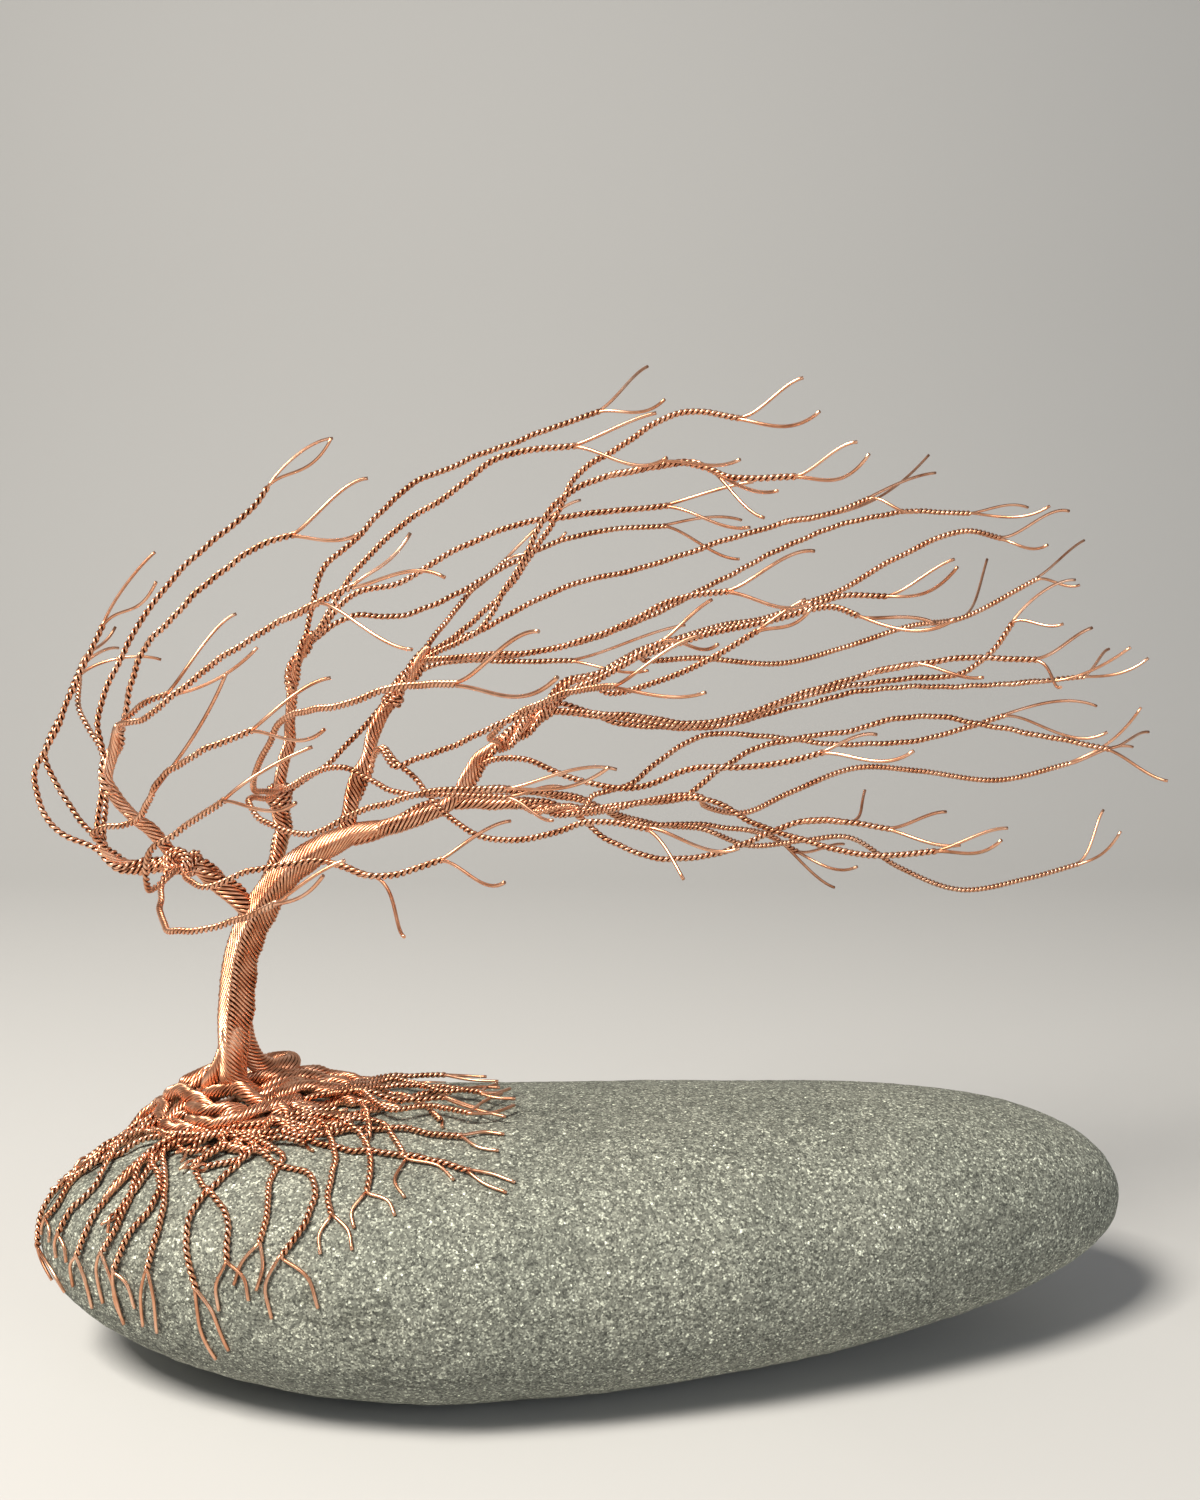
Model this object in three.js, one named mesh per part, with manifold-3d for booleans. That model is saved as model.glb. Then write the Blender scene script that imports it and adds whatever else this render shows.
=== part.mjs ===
// Wind-swept tree of twisted copper wire, rooted on a smooth grey pebble.
// Millimetres, +Z up, branches swept towards +X, the show side facing -Y.
// The origin is the centre of the flat spot that the pebble rests on.
import * as THREE from 'three';
import { mergeVertices } from 'three/addons/utils/BufferGeometryUtils.js';
import Module from 'manifold-3d';

const wasm = await Module();
wasm.setup();

// ---------- driving dimensions ----------

const WIRE = 0.46;                // diameter of one copper wire
const PAIR = 2 * WIRE;            // two wires twisted together
const GAP = 0.3;                  // kept between neighbouring solids
const STEP = 10;                  // length of one straight facet along a twig
const ROOT_STEP = 5;              // shorter on the roots, which bend round the stone

const STONE = {
  left: -76, right: 80,           // its two ends
  belly: -18,                     // where it is widest
  halfDepth: 28.5,
  tipHeight: 20,                  // height of both ends above the unworn underside
  thickness: 36.4,
  worn: 1.6,                      // depth of the flat spot underneath
  squareness: 2.35,               // 2 is an ellipse, more is boxier
};

const COPPER = { color: 0xb8683c, metalness: 1, roughness: 0.32 };
const GREY_STONE = { color: 0x7d8076, metalness: 0, roughness: 0.88 };

// Wires are bent through a few points, [x, y, z]. Each bough tapers between its two radii.
const TRUNK = [[-49, 4, 34.4], [-49, 4, 47], [-48, 5, 56], [-45, 5, 63], [-40, 5, 69], [-33, 6, 73]];

const BOUGHS = {
  left_bough: { radii: [1.55, 0.8], route: [[-46, 5, 62], [-51, 4, 67], [-55, 3, 70], [-58, 2, 70],
    [-63, 1, 70], [-66, 0, 73]] },
  left_rising_bough: { radii: [1.0, 0.8], route: [[-56, 3, 70], [-59, 1, 75], [-62, 0, 78],
    [-64, -1, 82], [-63, -1, 86], [-62, -2, 90]] },
  upright_bough: { radii: [1.25, 0.7], route: [[-45, 8, 65], [-43, 10, 72], [-43, 9, 79], [-41, 8, 87],
    [-40, 7, 96], [-37, 6, 102]] },
  centre_bough: { radii: [1.3, 0.85], route: [[-33, 6, 73], [-32, 7, 79], [-30, 7, 84], [-28, 8, 90],
    [-25, 8, 94], [-21, 8, 100]] },
  right_bough: { radii: [1.5, 0.85], route: [[-33, 6, 73], [-28, 6, 74], [-23, 5, 76], [-18, 5, 78],
    [-14, 5, 84], [-9, 4, 88], [-3, 4, 92]] },
  low_bough: { radii: [1.0, 0.75], route: [[-18, 5, 78], [-13, 5, 78], [-6, 3, 78], [1, 2, 77]] },
};

// A twig is one twisted pair. Its two wires part at the end and run on to the two tips.
// A side wire leaves the twig at a share of its length.
const TWIGS = {
  left_twig_1: { route: [[-66, 0, 73], [-73, 1, 76], [-75, 2, 82], [-72, 3, 89], [-69, 4, 96],
    [-66, 6, 103]], tips: [[-59, 8, 113], [-56, -2, 109]] },
  left_twig_2: { route: [[-66, 1, 73], [-71, 5, 77], [-75, 6, 84], [-74, 10, 90], [-72, 14, 97]],
    tips: [[-68, 18, 99], [-69, 20, 102]] },
  left_twig_3: { route: [[-67, 1, 74], [-67, 7, 84], [-72, 12, 90], [-74, 18, 95]],
    tips: [[-63, 22, 97], [-74, 26, 100]] },
  left_twig_4: { route: [[-66, 0, 75], [-65, 1, 84], [-66, 2, 90], [-62, 3, 100], [-57, 5, 108],
    [-51, 6, 114], [-45, 7, 119], [-43, 8, 122]], tips: [[-35, 14, 129], [-33, 2, 128]] },
  left_twig_5: { route: [[-66, -2, 75], [-58, -8, 78], [-53, -14, 84], [-47, -20, 88], [-38, -26, 92]],
    tips: [[-29, -24, 98], [-28, -34, 93]], sides: [[0.55, [-43, -18, 98]]] },
  left_twig_6: { route: [[-62, -2, 90], [-58, -4, 99], [-52, -7, 105], [-46, -9, 110], [-39, -12, 114],
    [-35, -14, 115]], tips: [[-26, -12, 122], [-26, -20, 115]] },
  left_twig_7: { route: [[-61, -3, 90], [-57, -8, 93], [-52, -12, 95]],
    tips: [[-44, -8, 105], [-40, -14, 101]] },
  left_twig_8: { route: [[-61, -4, 90], [-55, -11, 92], [-48, -15, 97], [-40, -20, 102], [-32, -25, 106],
    [-25, -30, 109]], tips: [[-14, -36, 110], [-19, -26, 115]], sides: [[0.9, [-18, -34, 102]]] },
  left_twig_9: { route: [[-55, -2, 70], [-56, -10, 69], [-54, -16, 75], [-47, -22, 80], [-41, -28, 84]],
    tips: [[-31, -26, 90], [-31, -36, 85]] },
  left_twig_10: { route: [[-57, -1, 68], [-54, -12, 66], [-50, -20, 66], [-41, -27, 69], [-34, -34, 73]],
    tips: [[-26, -34, 78], [-27, -42, 78]] },
  left_twig_11: { route: [[-54, -1, 69], [-49, -8, 69], [-42, -12, 72], [-32, -16, 74], [-24, -20, 73],
    [-16, -24, 76]], tips: [[-8, -20, 80], [-8, -32, 75]], sides: [[0.82, [-20, -30, 68]]] },

  upright_twig_1: { route: [[-42, 3, 80], [-43, -6, 82], [-40, -13, 87], [-35, -21, 93], [-28, -29, 95],
    [-19, -36, 98], [-12, -44, 99]], tips: [[-3, -54, 105], [-1, -60, 101]] },
  upright_twig_2: { route: [[-43, 4, 79], [-44, -5, 80], [-41, -9, 78], [-35, -13, 77], [-26, -17, 81],
    [-17, -22, 84], [-8, -26, 85]], tips: [[5, -24, 87], [4, -36, 89]] },
  upright_twig_3: { route: [[-42, 9, 79], [-36, 11, 83], [-31, 12, 88], [-26, 14, 94], [-20, 16, 97],
    [-11, 18, 97], [-1, 20, 97]], tips: [[16, 26, 102], [10, 14, 96]] },
  upright_twig_4: { route: [[-41, 5, 80], [-36, 1, 83], [-32, -1, 84], [-25, -3, 81], [-18, -6, 81],
    [-9, -8, 81]], tips: [[-2, -6, 82], [-3, -14, 79]] },
  upright_twig_5: { route: [[-37, 6, 102], [-36, 8, 110], [-31, 9, 115], [-24, 11, 122], [-18, 13, 125],
    [-5, 14, 130], [3, 16, 133]], tips: [[10, 22, 140], [12, 10, 134]] },
  upright_twig_6: { route: [[-36, 4, 102], [-31, 1, 109], [-25, -2, 115], [-17, -6, 120], [-9, -9, 125],
    [0, -12, 126]], tips: [[10, -12, 130], [11, -20, 124]] },
  upright_twig_7: { route: [[-37, 5, 102], [-31, 4, 107], [-24, 3, 109], [-15, 2, 114], [-6, 0, 117],
    [2, -1, 118], [12, -2, 119]], tips: [[23, -4, 122], [22, -10, 116]] },
  upright_twig_8: { route: [[-37, 8, 101], [-32, 10, 104], [-25, 13, 104], [-16, 16, 108], [-7, 20, 113],
    [2, 23, 116], [13, 26, 117]], tips: [[25, 32, 118], [24, 24, 112]] },

  centre_twig_1: { route: [[-28, 6, 85], [-27, 2, 86], [-25, -1, 84], [-22, -1, 85], [-15, -4, 88],
    [-5, -8, 93], [3, -12, 97], [11, -16, 102]], tips: [[17, -14, 107], [17, -24, 102]] },
  centre_twig_2: { route: [[-29, 7, 85], [-27, 4, 86], [-25, 2, 84], [-22, 0, 82], [-20, -2, 80],
    [-14, -7, 76], [-6, -11, 76], [2, -15, 79], [9, -20, 79]], tips: [[13, -26, 74], [20, -22, 77]] },
  centre_twig_3: { route: [[-21, 9, 100], [-17, 16, 106], [-11, 24, 112]],
    tips: [[0, 30, 121], [-2, 22, 116]] },
  centre_twig_4: { route: [[-21, 8, 100], [-15, 7, 103], [-9, 5, 109], [-4, 3, 116], [0, 1, 123],
    [6, -1, 127], [14, -3, 131], [21, -5, 130]], tips: [[29, -6, 135], [30, -14, 130]] },
  centre_twig_5: { route: [[-21, 7, 99], [-14, 3, 102], [-9, 0, 109], [-2, -3, 120], [6, -6, 123],
    [14, -9, 124], [20, -13, 122], [27, -16, 122]], tips: [[34, -18, 126], [34, -26, 124]],
    sides: [[0.74, [20, -17, 124]], [0.8, [23, -17, 117]], [0.84, [24, -22, 120]]] },
  centre_twig_6: { route: [[-21, 10, 99], [-14, 12, 102], [-2, 13, 108], [10, 15, 111], [19, 16, 114],
    [29, 18, 117], [38, 20, 119], [43, 22, 121]], tips: [[54, 28, 125], [49, 16, 119]],
    sides: [[0.9, [54, 33, 128]]] },
  centre_twig_7: { route: [[-21, 6, 98], [-14, 1, 99], [-4, -3, 100], [5, -6, 103], [13, -10, 107],
    [19, -14, 108]], tips: [[30, -12, 113], [28, -24, 107]] },
  centre_twig_8: { route: [[-21, 8, 98], [-15, 10, 98], [-5, 12, 99], [6, 15, 102], [15, 18, 106],
    [25, 22, 111], [36, 25, 116], [48, 27, 119], [60, 30, 119]], tips: [[70, 34, 120], [71, 26, 120]] },

  right_twig_1: { route: [[-3, 3, 92], [5, 1, 91], [18, 0, 90], [30, -2, 94], [39, -4, 97],
    [50, -5, 99], [60, -7, 99]], tips: [[68, -4, 103], [61, -14, 96]], sides: [[0.8, [52, -11, 97]]] },
  right_twig_2: { route: [[-3, 4, 92], [6, 4, 90], [19, 4, 89], [32, 7, 93], [43, 8, 95], [54, 9, 96],
    [59, 11, 99], [62, 12, 103]], tips: [[72, 16, 109], [68, 8, 103]] },
  right_twig_3: { route: [[-3, 6, 92], [6, 8, 89], [19, 12, 88], [33, 15, 91], [44, 18, 93],
    [52, 21, 93], [64, 25, 93], [78, 28, 94]], tips: [[83, 32, 98], [87, 26, 97]],
    sides: [[0.93, [82, 20, 99]]] },
  right_twig_4: { route: [[-3, 5, 93], [4, 6, 97], [8, 7, 99], [17, 8, 102], [27, 10, 104],
    [38, 12, 108], [45, 13, 112], [55, 14, 116], [61, 16, 115]], tips: [[72, 20, 119], [66, 10, 114]] },
  right_twig_5: { route: [[-3, 3, 94], [4, 3, 97], [8, 4, 99], [17, 3, 102], [27, 2, 104],
    [36, 2, 107], [42, 2, 107]], tips: [[51, 2, 112], [49, -8, 111]] },
  right_twig_6: { route: [[9, 1, 99], [17, -3, 102], [25, -7, 104], [32, -12, 106], [35, -16, 105]],
    tips: [[45, -14, 104], [45, -24, 105]] },
  right_twig_7: { route: [[9, 8, 98], [17, 11, 98], [29, 14, 97], [39, 19, 99], [50, 24, 102],
    [59, 29, 103], [72, 34, 109]], tips: [[81, 40, 115], [78, 32, 108]], sides: [[0.84, [66, 42, 112]]] },
  right_twig_8: { route: [[-12, -1, 88], [-6, -9, 93], [1, -17, 96], [5, -24, 97]],
    tips: [[15, -24, 103], [15, -32, 97]] },
  right_twig_9: { route: [[4, 0, 94], [11, -4, 96], [17, -8, 99], [23, -12, 103]],
    tips: [[29, -12, 107], [29, -17, 106]] },
  right_twig_10: { route: [[-13, 3, 84], [-7, -1, 85], [-1, -4, 83], [7, -7, 82], [15, -10, 85],
    [25, -13, 86], [31, -16, 88]], tips: [[38, -14, 90], [41, -22, 89]] },

  low_twig_1: { route: [[2, 3, 77], [7, 4, 78], [15, 5, 79], [20, 5, 83], [26, 6, 86], [38, 7, 88],
    [48, 8, 90], [61, 9, 88], [76, 10, 85]], tips: [[83, 14, 87], [83, 6, 81]] },
  low_twig_2: { route: [[2, 1, 77], [7, -2, 79], [17, -4, 80], [24, -6, 77], [31, -9, 75],
    [39, -12, 74], [46, -14, 75]], tips: [[55, -14, 78], [52, -22, 78]] },
  low_twig_3: { route: [[17, -2, 79], [23, 3, 77], [30, 8, 79], [40, 12, 82], [50, 16, 81],
    [63, 20, 79], [75, 24, 81]], tips: [[86, 28, 83], [84, 20, 90]] },
  low_twig_4: { route: [[1, 2, 76], [5, 1, 73], [13, 0, 71], [22, -1, 73], [28, -2, 76], [34, -3, 77],
    [42, -4, 76]], tips: [[50, -2, 78], [50, -10, 75]], sides: [[0.9, [40, 4, 80]]] },
  low_twig_5: { route: [[-16, 8, 79], [0, 10, 78], [7, 13, 74], [19, 15, 73], [28, 18, 71],
    [33, 20, 68]], tips: [[41, 26, 68], [41, 14, 67]], sides: [[0.95, [39, 22, 62]]] },
  low_twig_6: { route: [[18, 12, 73], [25, 15, 70], [34, 19, 70], [41, 21, 70], [49, 23, 65],
    [59, 25, 61], [70, 28, 62], [79, 30, 64]], tips: [[84, 34, 72], [84, 26, 70]] },
  low_twig_7: { route: [[2, 6, 79], [7, 8, 80], [12, 9, 84], [19, 11, 87], [31, 13, 86], [41, 15, 85],
    [52, 16, 86], [63, 18, 89]], tips: [[78, 22, 90], [77, 14, 87]] },
};

// Roots hug the stone. Each point is [x, turn]: turn is the angle round the stone in degrees,
// 0 on top, 90 at the front, -90 at the back. The roots of a group leave one cord, each from its own
// share of the cord's length.
const ROOTS = {
  left_end_roots: { cord: [[-60.5, -6], [-62, -3], [-65, 2]], roots: [
    { from: 1.0, route: [[-70, 5], [-73.5, 40], [-74, 92]], tips: [[-69, 112], [-72, 122]] },
    { from: 0.9, route: [[-69, 14], [-71, 45], [-72.5, 55]], tips: [[-73.5, 76], [-71.5, 78]] },
    { from: 0.8, route: [[-65, 30], [-68, 50], [-69.5, 68]], tips: [[-70, 87], [-68, 86]] },
    { from: 0.7, route: [[-66, -40], [-70, -70]], tips: [[-70, -90], [-66, -92]] },
  ] },
  front_left_roots: { cord: [[-54, 12], [-57, 16], [-59, 22]], roots: [
    { from: 1.0, route: [[-63, 44], [-65, 67], [-66, 80]], tips: [[-67, 98], [-64, 106]] },
    { from: 0.9, route: [[-59, 38], [-60, 58], [-62, 74]], tips: [[-62, 98], [-59, 106]] },
    { from: 0.6, route: [[-55, 41], [-58, 62], [-60, 81]], tips: [[-59, 104], [-57, 94]] },
    { from: 0.3, route: [[-54, 42], [-54, 59], [-55, 78]], tips: [[-56, 102], [-54, 103]] },
  ] },
  front_roots: { cord: [[-48, 18], [-44, 22], [-41, 22]], roots: [
    { from: 0.5, route: [[-45, 28], [-48.5, 42], [-50, 59], [-48, 82]], tips: [[-46, 109], [-44, 102]] },
    { from: 0.0, route: [[-51, 28], [-48, 41], [-45, 50], [-44, 70]], tips: [[-45, 88], [-41, 83]] },
    { from: 1.0, route: [[-39, 26], [-40, 34], [-39.5, 50], [-40, 62]], tips: [[-43, 78], [-40, 79]] },
    { from: 0.8, route: [[-39, 30], [-35.5, 32], [-34, 38], [-34, 50], [-37, 66]],
      tips: [[-38, 88], [-32, 83]] },
  ] },
  front_right_roots: { cord: [[-38, 14], [-35, 10], [-31, 8]], roots: [
    { from: 0.5, route: [[-32, 27], [-32, 42], [-31, 50]], tips: [[-32, 64], [-28, 62]] },
    { from: 0.8, route: [[-28, 21], [-27, 34], [-27, 41]], tips: [[-28, 54], [-23, 49]] },
    { from: 0.9, route: [[-27, 9], [-25, 16], [-22.5, 27]], tips: [[-22, 42], [-16, 35]] },
    { from: 0.0, route: [[-35, 19], [-31, 22], [-25, 24], [-19, 27], [-14, 32]], tips: [[-8, 37], [-9, 41]] },
    { from: 0.2, route: [[-34, 14], [-30, 12], [-24, 12], [-19, 15], [-15.5, 16]],
      tips: [[-10, 15], [-10.5, 23]] },
  ] },
  right_roots: { cord: [[-36, 0], [-34, -2], [-31, -1]], roots: [
    { from: 1.0, route: [[-26, 6], [-21, 4], [-15, 8]], tips: [[-11, -3], [-9, 3]] },
    { from: 0.8, route: [[-28, -7], [-21, -6], [-14, -2]], tips: [[-10, -6], [-12, -10]] },
    { from: 0.4, route: [[-29, -17], [-20, -18]], tips: [[-14, -20], [-12, -13]] },
    { from: 0.6, route: [[-28, -13], [-24, -9], [-20, -3], [-16, -4]], tips: [[-11.5, -7], [-9, 0]] },
    { from: 1.0, route: [[-25, 1], [-19, 0]], tips: [[-14, 4], [-10, 9]] },
  ] },
  back_roots: { cord: [[-50, -24], [-45, -28], [-40, -26]], roots: [
    { from: 0.0, route: [[-54, -44], [-56, -66]], tips: [[-58, -84], [-54, -86]] },
    { from: 0.3, route: [[-47, -50], [-44, -72]], tips: [[-46, -92], [-41, -88]] },
    { from: 0.7, route: [[-38, -44], [-36, -60]], tips: [[-37, -76], [-32, -72]] },
    { from: 1.0, route: [[-32, -34], [-26, -44]], tips: [[-21, -52], [-21, -42]] },
  ] },
};

const ROOT_CORD = 0.95;           // radius of the cord that a group of roots leaves
const NEST_FOOT = [-48, 3];       // middle of the root nest, in plan
const NEST_STRETCH = [1.15, 0.85];   // how much wider than deep the nest is
const NEST_COILS = 5;
const BOW = { upper: 0.05, lower: -0.12, side: -0.08 };   // of a free wire end, as a share of its length

// ---------- the stone as a function ----------

// How far the outline keeps its full size at a share u of the way from the belly to an end.
const fullness = (u, power, root) => Math.max(0, 1 - u ** power) ** root;

function stoneSection(x) {
  const toLeft = x < STONE.belly;
  const u = toLeft
    ? (STONE.belly - x) / (STONE.belly - STONE.left)
    : (x - STONE.belly) / (STONE.right - STONE.belly);
  const upper = STONE.thickness - STONE.tipHeight;
  const depth = toLeft ? fullness(u, 1.9, 0.55) : fullness(u, 1.7, 0.5);
  const rise = toLeft ? fullness(u, 2.6, 0.5) : fullness(u, 6, 0.5);
  const sink = toLeft ? fullness(u, 2.0, 0.5) : fullness(u, 2.1, 0.5);
  const top = STONE.tipHeight + upper * rise;
  const bottom = STONE.tipHeight * (1 - sink);
  const swing = toLeft ? -(u ** 2) : 9 * u ** 1.2;
  return {
    y: 1 + swing,
    z: (top + bottom) / 2 - STONE.worn,
    halfDepth: STONE.halfDepth * depth,
    halfHeight: (top - bottom) / 2,
    outward: (toLeft ? -1 : 1) * u ** 4,   // how far the surface faces along X
  };
}

// A point on the stone, or lifted off it. The underside is worn flat at z = 0.
function onStone(x, turn, lift = 0) {
  const section = stoneSection(x);
  const angle = THREE.MathUtils.degToRad(turn);
  const bend = (v) => Math.sign(v) * Math.abs(v) ** (2 / STONE.squareness);
  const y = section.y - (section.halfDepth + lift) * bend(Math.sin(angle));
  const z = section.z + (section.halfHeight + lift) * bend(Math.cos(angle));
  return new THREE.Vector3(x + lift * section.outward, y, Math.max(z, 0));
}

// ---------- closed shapes ----------

// A closed skin over rings of points, with a pole point at each end.
function skin(rings, firstPole, lastPole) {
  const sides = rings[0].length;
  const points = [firstPole, ...rings.flat(), lastPole];
  const at = (ring, side) => 1 + ring * sides + (side % sides);
  const last = points.length - 1;
  const faces = [];
  for (let side = 0; side < sides; side += 1) {
    faces.push(0, at(0, side + 1), at(0, side));
    faces.push(last, at(rings.length - 1, side), at(rings.length - 1, side + 1));
  }
  for (let ring = 0; ring + 1 < rings.length; ring += 1) {
    for (let side = 0; side < sides; side += 1) {
      const [a, b] = [at(ring, side), at(ring, side + 1)];
      const [c, d] = [at(ring + 1, side), at(ring + 1, side + 1)];
      faces.push(a, b, d, a, d, c);
    }
  }
  const geometry = new THREE.BufferGeometry();
  geometry.setAttribute('position', new THREE.Float32BufferAttribute(points.flatMap((p) => p.toArray()), 3));
  geometry.setIndex(faces);
  return geometry;
}

const smooth = (points) => new THREE.CatmullRomCurve3(points, false, 'centripetal');
const vectors = (points) => points.map((p) => (p.isVector3 ? p : new THREE.Vector3(...p)));

// A closed rod along a curve. radiusAt(share of length, angle round it) gives its section.
function rod(curve, radiusAt, sides, steps) {
  const frames = curve.computeFrenetFrames(steps);
  const rings = [];
  for (let i = 0; i <= steps; i += 1) {
    const centre = curve.getPointAt(i / steps);
    const ring = [];
    for (let side = 0; side < sides; side += 1) {
      const angle = (2 * Math.PI * side) / sides;
      const radius = radiusAt(i / steps, angle);
      ring.push(centre.clone()
        .addScaledVector(frames.normals[i], radius * Math.cos(angle))
        .addScaledVector(frames.binormals[i], radius * Math.sin(angle)));
    }
    rings.push(ring);
  }
  return skin(rings, curve.getPointAt(0), curve.getPointAt(1));
}

const facets = (curve, length = STEP) => Math.max(2, Math.round(curve.getLength() / length));

function solidOf(geometry) {
  const bare = mergeVertices(geometry);
  return new wasm.Manifold(new wasm.Mesh({
    numProp: 3,
    vertProperties: new Float32Array(bare.attributes.position.array),
    triVerts: new Uint32Array(bare.index.array),
  }));
}

function geometryOf(solid) {
  const mesh = solid.getMesh();
  const geometry = new THREE.BufferGeometry();
  geometry.setAttribute('position', new THREE.BufferAttribute(new Float32Array(mesh.vertProperties), 3));
  geometry.setIndex(new THREE.BufferAttribute(new Uint32Array(mesh.triVerts), 1));
  return geometry;
}

const roomFor = [];               // thicker copies of what the root nest closes round

const join = (geometries) => geometryOf(geometries.map(solidOf).reduce((all, next) => all.add(next)));

// ---------- placing wires clear of each other ----------

const placed = [];                // spheres along everything built so far

function remember(curve, radiusAt) {
  const count = Math.ceil(curve.getLength() / 0.5);
  for (let i = 0; i <= count; i += 1) {
    placed.push({ centre: curve.getPointAt(i / count), radius: radiusAt(i / count) });
  }
}

// Where wires leave the same knot, the later one starts where it has come clear of the others.
function clearOfOthers(points, radius, reach = 14) {
  const whole = smooth(points);
  const length = whole.getLength();
  let start = 0;
  for (let along = 0; along < Math.min(reach, length * 0.6); along += 0.25) {
    const here = whole.getPointAt(along / length);
    const touching = placed.some((p) => p.centre.distanceTo(here) < p.radius + radius + GAP);
    if (touching) start = along + 0.25;
  }
  const left = [];
  const pieces = facets(whole);
  for (let i = 0; i <= pieces; i += 1) {
    left.push(whole.getPointAt(Math.min(1, THREE.MathUtils.lerp(start / length, 1, i / pieces))));
  }
  return smooth(left);
}

// ---------- the pieces ----------

function pebble() {
  const rings = [];
  const count = 26;
  for (let i = 1; i < count; i += 1) {
    const share = (1 - Math.cos((Math.PI * i) / count)) / 2;
    const x = THREE.MathUtils.lerp(STONE.left, STONE.right, share);
    const ring = [];
    for (let side = 0; side < 18; side += 1) ring.push(onStone(x, side * 20));
    rings.push(ring);
  }
  const end = (x) => new THREE.Vector3(x, stoneSection(x).y, stoneSection(x).z);
  return skin(rings, end(STONE.left), end(STONE.right));
}

// The trunk is a flattened bundle, turned a little on the way up, and spreads at its foot.
function trunk() {
  const curve = smooth(vectors(TRUNK));
  const girth = (u) => THREE.MathUtils.lerp(2.7, 1.9, u) + 1.4 * Math.exp(-u * 12);
  const section = (u, angle) => {
    const flattening = 0.14 * Math.cos(2 * (angle - 1.6 * u));
    const wires = 0.05 * Math.cos(6 * (angle - 5 * u));
    return girth(u) * (1 + flattening + wires);
  };
  remember(curve, (u) => girth(u) * 1.18);
  const belowFoot = smooth(vectors([[-49, 4, 30], ...TRUNK]));
  roomFor.push(rod(belowFoot, () => girth(0) * 1.2 + GAP, 12, 12));
  return rod(curve, section, 12, 12);
}

function bough({ radii, route }) {
  const curve = clearOfOthers(vectors(route), radii[0]);
  const girth = (u) => THREE.MathUtils.lerp(radii[0], radii[1], u);
  remember(curve, girth);
  return rod(curve, (u, angle) => girth(u) * (1 + 0.08 * Math.cos(3 * angle)), 6, facets(curve, 6));
}

// A single wire end, bowed a little away from the straight line to its tip.
function tip(from, to, bow) {
  const middle = from.clone().lerp(to, 0.45);
  middle.z += bow * from.distanceTo(to);
  const curve = smooth([from, middle, to]);
  remember(curve, () => WIRE / 2);
  return rod(curve, () => WIRE / 2, 3, 3);
}

function twistedPair(curve, tips, sides = []) {
  const radius = () => PAIR / 2;
  const inside = curve.getPointAt(1 - 0.4 / curve.getLength());
  const [upper, lower] = vectors(tips);
  const parts = [rod(curve, radius, 5, facets(curve))];
  remember(curve, radius);
  parts.push(tip(inside, upper, BOW.upper), tip(inside, lower, BOW.lower));
  for (const [share, to] of sides) parts.push(tip(curve.getPointAt(share), vectors([to])[0], BOW.side));
  return parts;
}

function twig({ route, tips, sides }) {
  const curve = clearOfOthers(vectors(route), PAIR / 2);
  return join(twistedPair(curve, tips, sides));
}

// A curve that follows the stone through stops of [x, turn], lifted off it by one amount.
function alongStone(stops, lift) {
  const plan = smooth(stops.map(([x, turn]) => new THREE.Vector3(x, turn / 3, 0)));
  const count = Math.max(6, Math.round(plan.getLength() / 2));
  const points = [];
  for (let i = 0; i <= count; i += 1) {
    const { x, y } = plan.getPointAt(i / count);
    points.push(onStone(x, 3 * y, lift));
  }
  return smooth(points);
}

// The roots of one group leave a thicker cord that lies on the stone.
function rootGroup({ cord, roots }) {
  const cordCurve = alongStone(cord, ROOT_CORD + GAP);
  const parts = [rod(cordCurve, () => ROOT_CORD, 6, 3)];
  roomFor.push(rod(cordCurve, () => ROOT_CORD + GAP, 6, 3));
  const cordPlan = smooth(cord.map(([x, turn]) => new THREE.Vector3(x, turn, 0)));
  const rootLift = PAIR / 2 + GAP + 0.4;
  for (const { from, route, tips } of roots) {
    const start = cordPlan.getPointAt(from);
    const stops = [[start.x, start.y], ...route];
    const curve = alongStone(stops, rootLift);
    parts.push(rod(curve, () => PAIR / 2, 4, facets(curve, ROOT_STEP)));
    for (const [x, turn] of tips) {
      const [lastX, lastTurn] = route.at(-1);
      const wire = alongStone([[lastX, lastTurn], [x, turn]], rootLift);
      parts.push(rod(wire, () => WIRE / 2, 3, facets(wire, ROOT_STEP)));
    }
  }
  return join(parts);
}

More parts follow.
